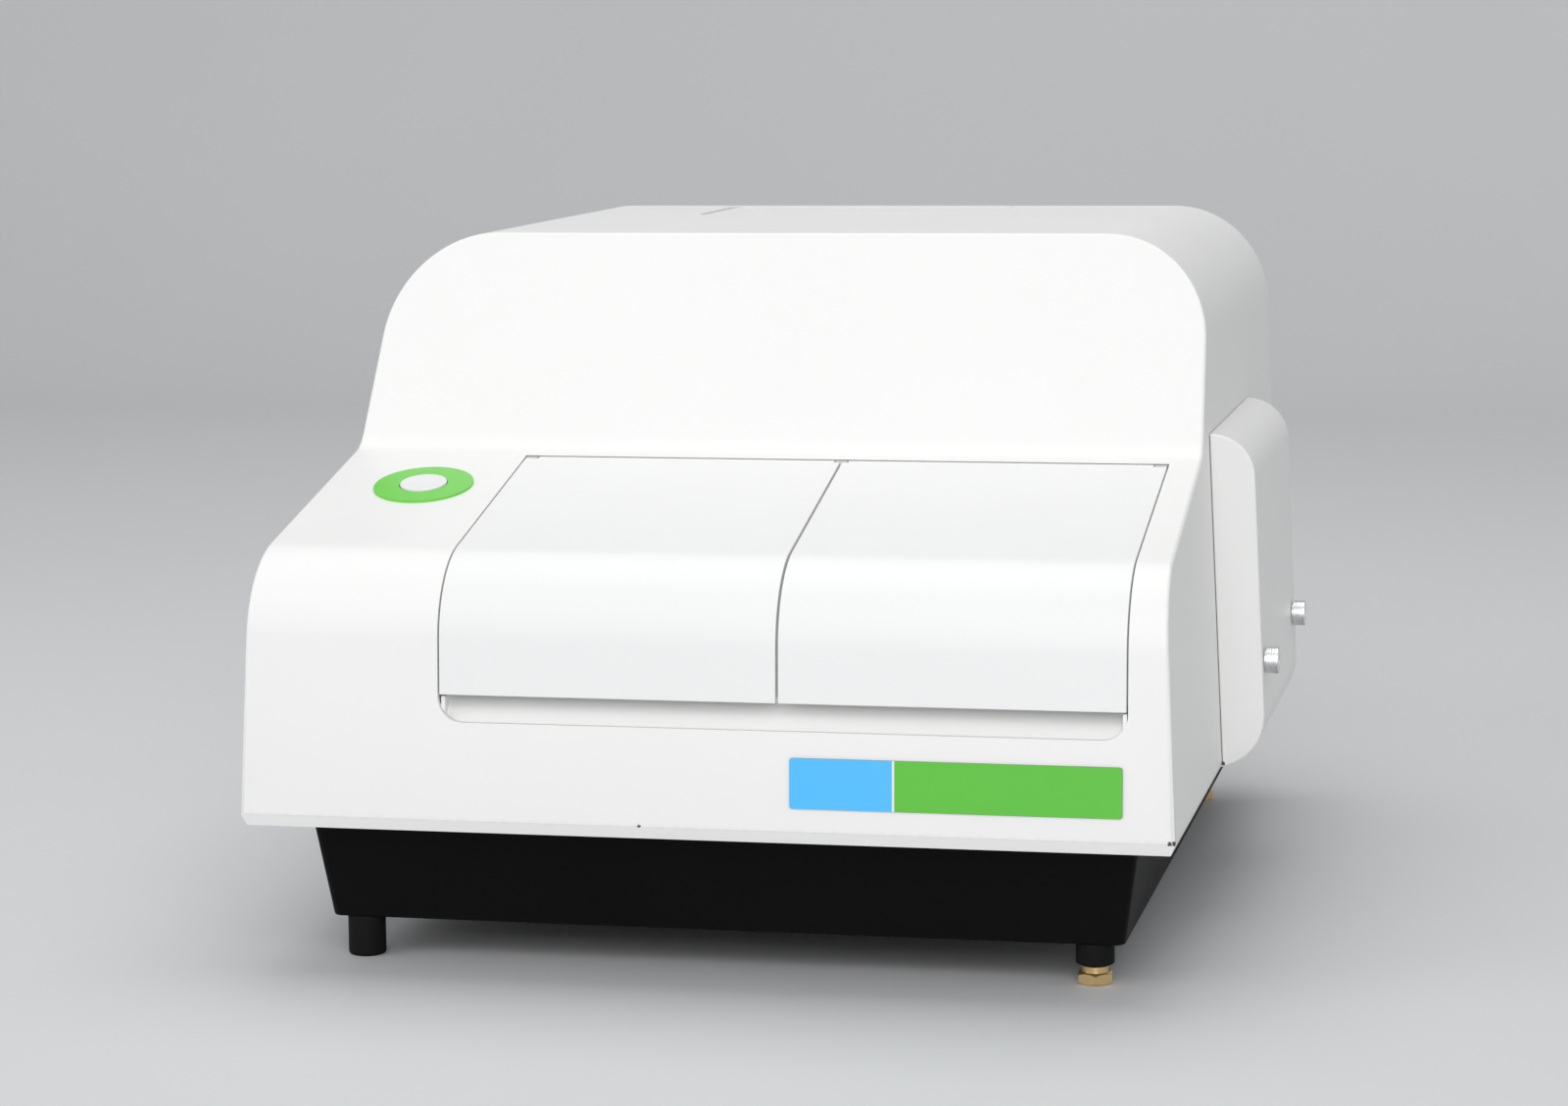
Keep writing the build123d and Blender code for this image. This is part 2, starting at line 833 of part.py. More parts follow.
foot_rows = (front_foot_y, rear_foot_y)
with BuildPart() as feet:
    with BuildSketch(Plane.XY):
        with Locations(*[(-foot_x, y) for y in foot_rows]):
            Circle(foot_radius)
    extrude(amount=base_bottom_z)
    chamfer(feet.edges().group_by(Axis.Z)[0], length=seam_edge)
    with BuildSketch(Plane.XY.offset(sleeve_bottom_z)):
        with Locations(*[(foot_x, y) for y in foot_rows]):
            Circle(foot_radius)
            Circle(level_stud_radius + running_clearance, mode=Mode.SUBTRACT)
    extrude(amount=base_bottom_z - sleeve_bottom_z)
save(feet.part, "feet")

for row, name in zip(foot_rows, ("levelling_screw_front", "levelling_screw_rear")):
    with BuildPart() as levelling_screw:
        with BuildSketch(Plane.XY):
            with Locations((foot_x, row)):
                RegularPolygon(level_hex_across / 2, 6, major_radius=False)
        extrude(amount=level_hex_height)
        chamfer(levelling_screw.edges().group_by(Axis.Z)[0], length=seam_edge)
        with BuildSketch(Plane.XY.offset(level_hex_height)):
            with Locations((foot_x, row)):
                Circle(level_collar_radius)
        extrude(amount=level_collar_height)
        with BuildSketch(Plane.XY.offset(level_hex_height + level_collar_height)):
            with Locations((foot_x, row)):
                Circle(level_stud_radius)
        stud_top_z = base_bottom_z - running_clearance
        extrude(amount=stud_top_z - level_hex_height - level_collar_height)
    save(levelling_screw.part, name)

# ---------------------------------------------------------------- deck and its posts
deck_bottom_z = deck_top_z - deck_thickness
deck_middle = ((deck_left_x + deck_right_x) / 2, (deck_front_y + deck_rear_y) / 2)
with BuildPart() as deck_plate:
    with BuildSketch(Plane.XY.offset(deck_bottom_z)):
        with Locations(deck_middle):
            Rectangle(deck_right_x - deck_left_x, deck_rear_y - deck_front_y)
    extrude(amount=deck_thickness)
save(deck_plate.part, "deck_plate")

with BuildPart() as deck_posts:
    with BuildSketch(Plane.XY.offset(chassis_top_z)):
        with Locations(deck_middle):
            with GridLocations(
                (deck_right_x - deck_left_x) / 2 - post_inset,
                (deck_rear_y - deck_front_y) / 2 - post_inset,
                post_rows,
                post_rows,
            ):
                Circle(post_radius)
    extrude(amount=deck_bottom_z - chassis_top_z)
save(deck_posts.part, "deck_posts")

# ---------------------------------------------------------------- plate transports
bays = (("left", left_bay_x), ("right", right_bay_x))
tray_top_z = tray_bottom_z + tray_floor + rim_height
tray_width = plate_length + 2 * (pocket_clearance + rim_width)
tray_length = plate_breadth + 2 * (pocket_clearance + rim_width)

with BuildPart() as carrier_rails:
    with BuildSketch(Plane.XY.offset(deck_top_z)):
        with Locations(*[(x + side * arm_spread, (rail_front_y + rail_rear_y) / 2)
                         for _, x in bays for side in (-1, 1)]):
            Rectangle(rail_width, rail_rear_y - rail_front_y)
    extrude(amount=rail_height)
save(carrier_rails.part, "carrier_rails")

for bay, bay_x in bays:
    with BuildPart() as carrier:
        # tray with a plate pocket and a window under the wells
        with BuildSketch(Plane.XY.offset(tray_bottom_z)):
            with Locations((bay_x, carrier_rest_y)):
                RectangleRounded(tray_width, tray_length, tray_corner)
        extrude(amount=tray_top_z - tray_bottom_z)
        with BuildSketch(Plane.XY.offset(tray_bottom_z + tray_floor)):
            with Locations((bay_x, carrier_rest_y)):
                Rectangle(plate_length + 2 * pocket_clearance, plate_breadth + 2 * pocket_clearance)
        extrude(amount=rim_height, mode=Mode.SUBTRACT)
        with BuildSketch(Plane.XY.offset(tray_bottom_z)):
            with Locations((bay_x, carrier_rest_y)):
                Rectangle(plate_length - 2 * tray_ledge, plate_breadth - 2 * tray_ledge)
        extrude(amount=tray_floor, mode=Mode.SUBTRACT)
        # finger notches in the front and rear rims
        with BuildSketch(Plane.XY.offset(tray_bottom_z + tray_floor)):
            with Locations((bay_x, carrier_rest_y)):
                Rectangle(notch_width, tray_length + 2 * overcut)
        extrude(amount=rim_height, mode=Mode.SUBTRACT)
        # arms back to the tail
        arm_front_y = carrier_rest_y + tray_length / 2
        with BuildSketch(Plane.XY.offset(tray_bottom_z)):
            with Locations(*[(bay_x + side * arm_spread, (arm_front_y + tail_y) / 2)
                             for side in (-1, 1)]):
                Rectangle(arm_width, tail_y - arm_front_y)
            with Locations((bay_x, tail_y - tail_length / 2)):
                Rectangle(2 * arm_spread, tail_length)
        extrude(amount=arm_thickness)
        # nut for the lead screw
        with BuildSketch(facing_front(tail_y)):
            nut_low_z = screw_z - screw_radius - nut_wall
            with Locations((bay_x, (tray_bottom_z + nut_low_z) / 2)):
                Rectangle(nut_width, tray_bottom_z - nut_low_z)
            with Locations((bay_x, screw_z)):
                Circle(screw_radius + running_clearance, mode=Mode.SUBTRACT)
        extrude(amount=tail_length)
        # runners round the rails
        for side in (-1, 1):
            with BuildSketch(facing_front(tail_y)):
                with Locations((bay_x + side * arm_spread, (runner_bottom_z + tray_bottom_z) / 2)):
                    Rectangle(runner_width, tray_bottom_z - runner_bottom_z)
                rail_top_z = deck_top_z + rail_height
                with Locations((bay_x + side * arm_spread, (runner_bottom_z + rail_top_z) / 2)):
                    Rectangle(
                        rail_width + 2 * slide_gap,
                        rail_top_z - runner_bottom_z + 2 * slide_gap,
                        mode=Mode.SUBTRACT,
                    )
            extrude(amount=runner_length)
    save(carrier.part, f"{bay}_carrier")

    with BuildPart() as lead_screw:
        with BuildSketch(facing_front(motor_face_y)):
            with Locations((bay_x, screw_z)):
                Circle(screw_radius)
        extrude(amount=motor_face_y - screw_front_y)
    save(lead_screw.part, f"{bay}_lead_screw")

with BuildPart() as screw_bearings:
    for _, bay_x in bays:
        for face_y in (screw_front_y + 2 * bearing_thickness, deck_rear_y + bearing_thickness):
            bearing_top_z = screw_z + bearing_thickness
            low_z = deck_top_z if face_y < deck_rear_y else deck_bottom_z
            with BuildSketch(facing_front(face_y)):
                with Locations((bay_x, (bearing_top_z + low_z) / 2)):
                    Rectangle(bearing_width, bearing_top_z - low_z)
                with Locations((bay_x, screw_z)):
                    Circle(screw_radius + running_clearance, mode=Mode.SUBTRACT)
            extrude(amount=bearing_thickness)
save(screw_bearings.part, "screw_bearings")

# ---------------------------------------------------------------- gantry
gantry_screws = (("pipettor", pipettor_screw_y), ("head", head_screw_y))
with BuildPart() as gantry_walls:
    for wall_x in (gantry_left_x, gantry_right_x - gantry_wall):
        with BuildSketch(facing_right(wall_x)):
            with Locations(
                ((gantry_wall_front_y + gantry_wall_rear_y) / 2, (deck_top_z + gantry_wall_top_z) / 2)
            ):
                Rectangle(
                    gantry_wall_rear_y - gantry_wall_front_y, gantry_wall_top_z - deck_top_z
                )
            with Locations(*[(y, gantry_screw_z) for _, y in gantry_screws]):
                Circle(gantry_screw_radius + running_clearance, mode=Mode.SUBTRACT)
        extrude(amount=gantry_wall)
save(gantry_walls.part, "gantry_walls")

with BuildPart() as gantry_beam:
    with BuildSketch(facing_right(gantry_left_x + gantry_wall)):
        with Locations((gantry_front_y + beam_depth / 2, beam_bottom_z + beam_height / 2)):
            Rectangle(beam_depth, beam_height)
            Rectangle(beam_depth / 2, beam_height / 2, mode=Mode.SUBTRACT)
    extrude(amount=gantry_right_x - gantry_left_x - 2 * gantry_wall)
save(gantry_beam.part, "gantry_beam")

for name, screw_y in gantry_screws:
    with BuildPart() as gantry_screw:
        with BuildSketch(facing_right(gantry_left_x)):
            with Locations((screw_y, gantry_screw_z)):
                Circle(gantry_screw_radius)
        extrude(amount=gantry_right_x - gantry_left_x)
    save(gantry_screw.part, f"{name}_lead_screw")

with BuildPart() as pipettor_carriage:
    beam_top_z = beam_bottom_z + beam_height
    with BuildSketch(facing_right(left_bay_x - carriage_width / 2)):
        with BuildLine():
            Polyline(
                (carriage_front_y, carriage_bottom_z),
                (gantry_front_y - carriage_gap, carriage_bottom_z),
                (gantry_front_y - carriage_gap, beam_top_z + carriage_gap),
                (gantry_front_y + beam_depth / 2, beam_top_z + carriage_gap),
                (gantry_front_y + beam_depth / 2, carriage_top_z),
                (carriage_front_y, carriage_top_z),
                close=True,
            )
        make_face()
        with Locations((pipettor_screw_y, gantry_screw_z)):
            Circle(gantry_screw_radius + running_clearance, mode=Mode.SUBTRACT)
    extrude(amount=carriage_width)
    with BuildSketch(Plane.XY.offset(carriage_bottom_z)):
        with Locations((left_bay_x, (arm_reach_y + carriage_front_y) / 2)):
            Rectangle(carriage_width / 2, carriage_front_y - arm_reach_y)
        with Locations((left_bay_x, needle_y)):
            Circle(holder_radius + running_clearance, mode=Mode.SUBTRACT)
    extrude(amount=arm_height)
save(pipettor_carriage.part, "pipettor_carriage")

with BuildPart() as needle_holder:
    with BuildSketch(Plane.XY.offset(holder_bottom_z)):
        with Locations((left_bay_x, needle_y)):
            Circle(holder_radius)
            Circle(needle_radius, mode=Mode.SUBTRACT)
    extrude(amount=holder_top_z - holder_bottom_z)
    with BuildSketch(Plane.XY.offset(holder_top_z)):
        with Locations((left_bay_x, needle_y)):
            Circle(holder_cap_radius)
    extrude(amount=holder_cap)
save(needle_holder.part, "needle_holder")

with BuildPart() as needle:
    with BuildSketch(Plane.XY.offset(needle_tip_z)):
        with Locations((left_bay_x, needle_y)):
            Circle(needle_radius)
    extrude(amount=holder_top_z - needle_tip_z)
save(needle.part, "needle")

with BuildPart() as measuring_head:
    head_arm_top_z = head_bottom_z + head_arm_height
    with BuildSketch(facing_right(right_bay_x - head_width / 2)):
        with BuildLine():
            Polyline(
                (head_front_y, head_bottom_z),
                (head_rear_y, head_bottom_z),
                (head_rear_y, carriage_top_z),
                (gantry_front_y + beam_depth / 2 + 1, carriage_top_z),
                (gantry_front_y + beam_depth / 2 + 1, beam_top_z + carriage_gap),
                (gantry_front_y + beam_depth + carriage_gap, beam_top_z + carriage_gap),
                (gantry_front_y + beam_depth + carriage_gap, head_arm_top_z),
                (head_front_y, head_arm_top_z),
                close=True,
            )
        make_face()
        with Locations((head_screw_y, gantry_screw_z)):
            Circle(gantry_screw_radius + running_clearance, mode=Mode.SUBTRACT)
    extrude(amount=head_width)
    with BuildSketch(Plane.XY.offset(tube_bottom_z)):
        with Locations((right_bay_x, tube_y)):
            Circle(tube_radius)
            Circle(lens_radius, mode=Mode.SUBTRACT)
    extrude(amount=head_bottom_z - tube_bottom_z)
save(measuring_head.part, "measuring_head")

with BuildPart() as objective_lens:
    with BuildSketch(Plane.XY.offset(tube_bottom_z + 1)):
        with Locations((right_bay_x, tube_y)):
            Circle(lens_radius)
    extrude(amount=lens_thickness)
save(objective_lens.part, "objective_lens")

with BuildPart() as stepper_motors:
    for _, bay_x in bays:
        with BuildSketch(facing_front(motor_face_y)):
            with Locations((bay_x, screw_z)):
                RectangleRounded(motor_size, motor_size, motor_corner)
        extrude(amount=-motor_length)
    for _, screw_y in gantry_screws:
        with BuildSketch(facing_right(gantry_left_x)):
            with Locations((screw_y, gantry_screw_z)):
                RectangleRounded(motor_size, motor_size, motor_corner)
        extrude(amount=-motor_length)
save(stepper_motors.part, "stepper_motors")

# ---------------------------------------------------------------- side box and filter wheels
wheel_ys = (wheel_front_y, wheel_front_y + wheel_spacing)
box_middle_y = (box_front_y + box_rear_y) / 2


def box_outline(inset):
    """Side box seen from the front, drawn inset from its outer surface."""
    with BuildSketch() as outline:
        inner_x = right_cut_x
        with BuildLine():
            Polyline(
                (inner_x, box_low_z + inset),
                (box_face_x - lean_at(box_low_z) - inset, box_low_z + inset),
                (box_face_x - lean_at(box_high_z) - inset, box_high_z - inset),
                (inner_x, box_high_z - inset),
                close=True,
            )
        make_face()
        outer = outline.vertices().sort_by(Axis.X)[-2:].sort_by(Axis.Y)
        fillet(outer[0], radius=box_bottom_radius - inset)
        fillet(outline.vertices().sort_by_distance((box_face_x, box_high_z, 0))[0],
               radius=box_top_radius - inset)
    return outline.sketch


with BuildPart() as side_cover:
    with BuildSketch(facing_front(box_rear_y)):
        add(box_outline(0))
    extrude(amount=box_rear_y - box_front_y)
    ends = side_cover.faces().filter_by(Axis.Y).edges()
    rounded = ends.filter_by(lambda edge: edge.bounding_box().min.X > right_cut_x + overcut)
    fillet(rounded, box_edge_radius)
    with BuildSketch(facing_front(box_rear_y - box_sheet)):
        add(box_outline(box_sheet))
    extrude(amount=box_rear_y - box_front_y - 2 * box_sheet, mode=Mode.SUBTRACT)
    # bosses that the thumb screws pass through
    with BuildSketch(facing_right(right_cut_x)):
        with Locations((thumb_front_y, thumb_z), (thumb_rear_y, thumb_z)):
            Circle(thumb_radius)
    extrude(amount=box_face_x - box_sheet - lean_at(thumb_z) - right_cut_x)
    with BuildSketch(facing_right(right_cut_x)):
        with Locations((thumb_front_y, thumb_z), (thumb_rear_y, thumb_z)):
            Circle(thumb_shank_radius + thumb_clearance)
    extrude(amount=right_cut_length, mode=Mode.SUBTRACT)
    # the cover's own wall bounds the box on its inner side
    with BuildSketch(Plane.XZ):
        with BuildLine():
            Polyline(
                (0, fold_z - lip_drop - 1),
                (cover_width / 2 - lip_inset + box_wall_gap, fold_z - lip_drop - 1),
                (cover_width / 2 + box_wall_gap, fold_z),
                (side_at(cover_top_z) + box_wall_gap, cover_top_z),
                (0, cover_top_z),
                close=True,
            )
        make_face()
    extrude(amount=cover_depth, both=True, mode=Mode.SUBTRACT)
save(side_cover.part, "side_cover")

thumb_face_x = box_face_x - lean_at(thumb_z)
for row, name in ((thumb_front_y, "thumb_screw_front"), (thumb_rear_y, "thumb_screw_rear")):
    with BuildPart() as thumb_screw:
        with BuildSketch(facing_right(thumb_face_x + seat_gap)):
            with Locations((row, thumb_z)):
                Circle(thumb_radius)
        extrude(amount=thumb_height - seat_gap)
        chamfer(thumb_screw.edges().group_by(Axis.X)[-1], length=seam_edge)
        with BuildSketch(facing_right(thumb_face_x + seat_gap)):
            with Locations((row, thumb_z)):
                Circle(thumb_shank_radius)
        shank_end_x = side_at(thumb_z) - 2 * cover_sheet
        extrude(amount=shank_end_x - thumb_face_x - seat_gap)
    save(thumb_screw.part, name)

with BuildPart() as optics_block:
    with BuildSketch(facing_right(deck_right_x - optics_thickness)):
        with Locations((box_middle_y, (deck_top_z + optics_top_z) / 2)):
            Rectangle(box_rear_y - box_front_y, optics_top_z - deck_top_z)
        with Locations(*[(y, wheel_z + filter_pitch_radius) for y in wheel_ys]):
            Circle(filter_radius - 1, mode=Mode.SUBTRACT)
    extrude(amount=optics_thickness)
save(optics_block.part, "optics_block")

with BuildPart() as wheel_motors:
    with BuildSketch(facing_right(deck_right_x)):
        with Locations(*[(y, wheel_z) for y in wheel_ys]):
            Circle(wheel_motor_radius)
    extrude(amount=wheel_x - wheel_hub_height - deck_right_x - carriage_gap)
    with BuildSketch(facing_right(deck_right_x)):
        with Locations(*[(y, wheel_z) for y in wheel_ys]):
            Circle(wheel_shaft_radius)
    extrude(amount=wheel_x + wheel_thickness - deck_right_x)
save(wheel_motors.part, "wheel_motors")

for wheel_y, name in zip(wheel_ys, ("excitation", "emission")):
    with BuildPart() as wheel:
        with BuildSketch(facing_right(wheel_x)):
            with Locations((wheel_y, wheel_z)):
                Circle(wheel_radius)
                with PolarLocations(filter_pitch_radius, filter_count):
                    Circle(filter_radius + filter_clearance, mode=Mode.SUBTRACT)
        extrude(amount=wheel_thickness)
        with BuildSketch(facing_right(wheel_x - wheel_hub_height)):
            with Locations((wheel_y, wheel_z)):
                Circle(wheel_hub_radius)
        extrude(amount=wheel_hub_height)
        with BuildSketch(facing_right(wheel_x - wheel_hub_height)):
            with Locations((wheel_y, wheel_z)):
                Circle(wheel_shaft_radius + running_clearance)
        extrude(amount=wheel_thickness + wheel_hub_height, mode=Mode.SUBTRACT)
    save(wheel.part, f"{name}_wheel")

    with BuildPart() as filters:
        with BuildSketch(facing_right(wheel_x)):
            with Locations((wheel_y, wheel_z)):
                with PolarLocations(filter_pitch_radius, filter_count):
                    Circle(filter_radius)
        extrude(amount=wheel_thickness)
    save(filters.part, f"{name}_filters")

# ---------------------------------------------------------------- lamp, detector and pump
lamp_x = deck_right_x - optics_thickness - lamp_size_x
with BuildPart() as flash_lamp:
    with BuildSketch(Plane.XY.offset(lamp_low_z)):
        with Locations((lamp_x + lamp_size_x / 2, (lamp_front_y + lamp_rear_y) / 2)):
            Rectangle(lamp_size_x, lamp_rear_y - lamp_front_y)
    extrude(amount=lamp_high_z - lamp_low_z)
    with BuildSketch(Plane.XY.offset(lamp_high_z - lamp_fin_depth)):
        fin_pitch = (lamp_rear_y - lamp_front_y) / (lamp_fin_count + 1)
        with Locations((lamp_x + lamp_size_x / 2, (lamp_front_y + lamp_rear_y) / 2)):
            with GridLocations(1, fin_pitch, 1, lamp_fin_count):
                Rectangle(lamp_size_x, fin_pitch / 2)
    extrude(amount=lamp_fin_depth, mode=Mode.SUBTRACT)
save(flash_lamp.part, "flash_lamp")

with BuildPart() as photomultiplier:
    with BuildSketch(facing_right(lamp_x - detector_length)):
        with Locations(((lamp_front_y + lamp_rear_y) / 2, (lamp_low_z + lamp_high_z) / 2)):
            Circle(detector_radius)
    extrude(amount=detector_length)
save(photomultiplier.part, "photomultiplier")

pump_front_y = pump_y - pump_depth / 2
pump_top_z = chassis_top_z + pump_height
syringe_y = pump_front_y - syringe_reach
syringe_low_z = pump_top_z - syringe_length
with BuildPart() as syringe_pump:
    with BuildSketch(Plane.XY.offset(chassis_top_z)):
        with Locations((pump_x, pump_y)):
            RectangleRounded(pump_width, pump_depth, pump_corner)
    extrude(amount=pump_height)
    # clips that hold the barrel
    for clip_z in (syringe_low_z, pump_top_z - clip_height):
        with BuildSketch(Plane.XY.offset(clip_z)):
            with Locations((pump_x, (pump_front_y + syringe_y) / 2)):
                Rectangle(pump_width / 2, pump_front_y - syringe_y)
            with Locations((pump_x, syringe_y)):
                Circle(syringe_radius + clip_wall)
                Circle(syringe_radius + running_clearance, mode=Mode.SUBTRACT)
        extrude(amount=clip_height)
save(syringe_pump.part, "syringe_pump")

with BuildPart() as syringe_barrel:
    with BuildSketch(Plane.XY.offset(syringe_low_z)):
        with Locations((pump_x, syringe_y)):
            Circle(syringe_radius)
            Circle(syringe_radius - syringe_wall, mode=Mode.SUBTRACT)
    extrude(amount=syringe_length)
    with BuildSketch(Plane.XY.offset(pump_top_z)):
        with Locations((pump_x, syringe_y)):
            Circle(syringe_radius)
            Circle(syringe_wall, mode=Mode.SUBTRACT)
    extrude(amount=syringe_wall)
save(syringe_barrel.part, "syringe_barrel")

with BuildPart() as syringe_plunger:
    piston_radius = syringe_radius - syringe_wall - running_clearance
    piston_low_z = pump_top_z - clip_height
    foot_z = syringe_low_z - clip_height
    with BuildSketch(Plane.XY.offset(piston_low_z)):
        with Locations((pump_x, syringe_y)):
            Circle(piston_radius)
    extrude(amount=clip_height - 1)
    with BuildSketch(Plane.XY.offset(foot_z)):
        with Locations((pump_x, syringe_y)):
            Circle(plunger_rod_radius)
    extrude(amount=piston_low_z - foot_z)
    with BuildSketch(Plane.XY.offset(foot_z)):
        with Locations((pump_x, syringe_y)):
            Circle(syringe_radius)
    extrude(amount=plunger_rod_radius)
save(syringe_plunger.part, "syringe_plunger")

# ---------------------------------------------------------------- electronics in the base
base_floor_z = base_bottom_z + base_sheet
with BuildPart() as power_supply:
    with BuildSketch(Plane.XY.offset(base_floor_z)):
        with Locations((-base_half_width / 2, base_rear_y / 2)):
            Rectangle(supply_width, supply_length)
    extrude(amount=supply_height)
save(power_supply.part, "power_supply")

with BuildPart() as main_board:
    board_z = base_floor_z + board_standoff
    board_place = (base_half_width / 2, base_rear_y / 2)
    with BuildSketch(Plane.XY.offset(board_z)):
        with Locations(board_place):
            Rectangle(board_width, board_length)
    extrude(amount=board_thickness)
    with BuildSketch(Plane.XY.offset(base_floor_z)):
        with Locations(board_place):
            with GridLocations(board_width - 2 * board_standoff, board_length - 2 * board_standoff, 2, 2):
                Circle(board_standoff / 2)
    extrude(amount=board_standoff)
    with BuildSketch(Plane.XY.offset(board_z + board_thickness)):
        with Locations(board_place):
            with GridLocations(chip_pitch_x, chip_pitch_y, chip_rows, chip_rows):
                Rectangle(chip_width, chip_length)
    extrude(amount=2 * board_thickness)
save(main_board.part, "main_board")

# ---------------------------------------------------------------- rear panel
inner_plane = panel_plane.offset(-panel_sheet)
fan_place = (fan_across, fan_up)
inlet_place = (inlet_across, inlet_up)
rocker_place = (inlet_across, inlet_up + inlet_height / 2 - rocker_height / 2 - flange_thickness)
socket_place = (inlet_across, inlet_up - inlet_height / 2 + inlet_socket_height / 2 + flange_thickness)
port_places = [(port_across - index * port_spacing, port_up) for index in range(2)]

with BuildPart() as rear_panel:
    with BuildSketch(panel_plane):
        Rectangle(2 * panel_half_width, panel_high_z - panel_low_z)
        with Locations(fan_place):
            Circle(fan_bore_radius, mode=Mode.SUBTRACT)
        with Locations(inlet_place):
            Rectangle(inlet_width + seat_gap, inlet_height + seat_gap, mode=Mode.SUBTRACT)
        with Locations(*port_places):
            Rectangle(port_width + seat_gap, port_height + seat_gap, mode=Mode.SUBTRACT)
        with GridLocations(screw_across, screw_up, 2, 2):
            Circle(panel_screw_shank + running_clearance, mode=Mode.SUBTRACT)
    extrude(amount=-panel_sheet)
save(rear_panel.part, "rear_panel")

with BuildPart() as fan_frame:
    with BuildSketch(inner_plane):
        with Locations(fan_place):
            RectangleRounded(fan_size, fan_size, motor_corner)
            Circle(fan_bore_radius, mode=Mode.SUBTRACT)
    extrude(amount=-fan_depth)
    with BuildSketch(inner_plane.offset(-fan_depth)):
        with Locations(fan_place):
            Circle(fan_boss_radius)
            Rectangle(2 * fan_bore_radius + 1, guard_wire * 2)
            Rectangle(guard_wire * 2, 2 * fan_bore_radius + 1)
    extrude(amount=flange_thickness)
    with BuildSketch(inner_plane.offset(-fan_depth + flange_thickness)):
        with Locations(fan_place):
            Circle(fan_pin_radius)
    extrude(amount=fan_depth / 2)
save(fan_frame.part, "fan_frame")

with BuildPart() as fan_rotor:
    rotor_plane = inner_plane.offset(-fan_depth + flange_thickness + rotor_gap / 2)
    rotor_height = fan_depth - flange_thickness - 2 * rotor_gap
    with BuildSketch(rotor_plane):
        with Locations(fan_place):
            Circle(fan_hub_radius)
    extrude(amount=rotor_height)
    with BuildSketch(rotor_plane.offset(blade_rise)):
        with Locations(fan_place):
            with PolarLocations(0, fan_blade_count):
                with Locations(Location((fan_blade_radius / 2, 0), 0)):
                    Rectangle(fan_blade_radius, flange_thickness)
    extrude(amount=blade_height)
    with BuildSketch(rotor_plane):
        with Locations(fan_place):
            Circle(fan_pin_radius + running_clearance)
    extrude(amount=fan_depth / 2 + carriage_gap, mode=Mode.SUBTRACT)
save(fan_rotor.part, "fan_rotor")

with BuildPart() as fan_guard:
    with BuildSketch(panel_plane):
        with Locations(fan_place):
            ring_pitch = (fan_bore_radius + guard_wire) / guard_ring_count
            for ring in range(1, guard_ring_count + 1):
                Circle(ring * ring_pitch)
                Circle(ring * ring_pitch - guard_wire, mode=Mode.SUBTRACT)
    extrude(amount=guard_wire)
    with BuildSketch(panel_plane):
        with Locations(fan_place):
            for angle in guard_spoke_angles:
                Rectangle(2 * (fan_bore_radius + 2 * guard_wire), guard_wire, rotation=angle)
    extrude(amount=guard_wire)
save(fan_guard.part, "fan_guard")

rocker_side_plane = Plane(
    origin=panel_plane.from_local_coords(Vector(*rocker_place, -rocker_depth / 4)),
    x_dir=panel_plane.y_dir,
    z_dir=panel_plane.x_dir,
)
with BuildPart() as mains_inlet:
    with BuildSketch(panel_plane):
        with Locations(inlet_place):
            Rectangle(inlet_width, inlet_height)
    extrude(amount=-inlet_depth)
    with BuildSketch(panel_plane):
        with Locations(inlet_place):
            RectangleRounded(inlet_width + inlet_flange, inlet_height + inlet_flange, 2)
    extrude(amount=flange_thickness)
    with BuildSketch(panel_plane.offset(flange_thickness)):
        with Locations(socket_place):
            Rectangle(inlet_socket_width, inlet_socket_height)
    extrude(amount=-inlet_depth + 2 * flange_thickness, mode=Mode.SUBTRACT)
    with BuildSketch(panel_plane.offset(flange_thickness)):
        with Locations(rocker_place):
            Rectangle(rocker_width + 2 * seat_gap, rocker_height + 2 * seat_gap)
    extrude(amount=-rocker_depth - 2 * flange_thickness, mode=Mode.SUBTRACT)
    # blades of the inlet
    with BuildSketch(panel_plane.offset(-inlet_depth + 3 * flange_thickness)):
        with Locations(socket_place):
            with GridLocations(blade_pitch, blade_pitch, inlet_blades, 1):
                Rectangle(flange_thickness, 2 * flange_thickness)
    extrude(amount=inlet_depth - 4 * flange_thickness)
    # pin that the rocker tilts on
    with BuildSketch(rocker_side_plane):
        Circle(rocker_pin_radius)
    extrude(amount=rocker_width / 2 + seat_gap, both=True)
save(mains_inlet.part, "mains_inlet")

with BuildPart() as power_rocker:
    with BuildSketch(rocker_side_plane):
        with BuildLine():
            crest = flange_thickness + rocker_depth / 4 + rocker_proud
            half = rocker_height / 2 - overcut
            Polyline(
                (-half, crest),
                (0, crest - rocker_proud),
                (half, crest - rocker_proud),
                (rocker_foot_front, -rocker_depth / 2),
                (-rocker_foot_rear, -rocker_depth / 2),
                close=True,
            )
        make_face()
        Circle(rocker_pin_radius + running_clearance, mode=Mode.SUBTRACT)
    extrude(amount=rocker_width / 2, both=True)
save(power_rocker.part, "power_rocker")

with BuildPart() as data_ports:
    for place in port_places:
        with BuildSketch(panel_plane.offset(flange_thickness)):
            with Locations(place):
                Rectangle(port_width, port_height)
        extrude(amount=-port_depth)
        with BuildSketch(panel_plane.offset(flange_thickness)):
            with Locations(place):
                Rectangle(port_width - 2 * flange_thickness, port_height - 2 * flange_thickness)
        extrude(amount=-port_depth + flange_thickness, mode=Mode.SUBTRACT)
save(data_ports.part, "data_ports")

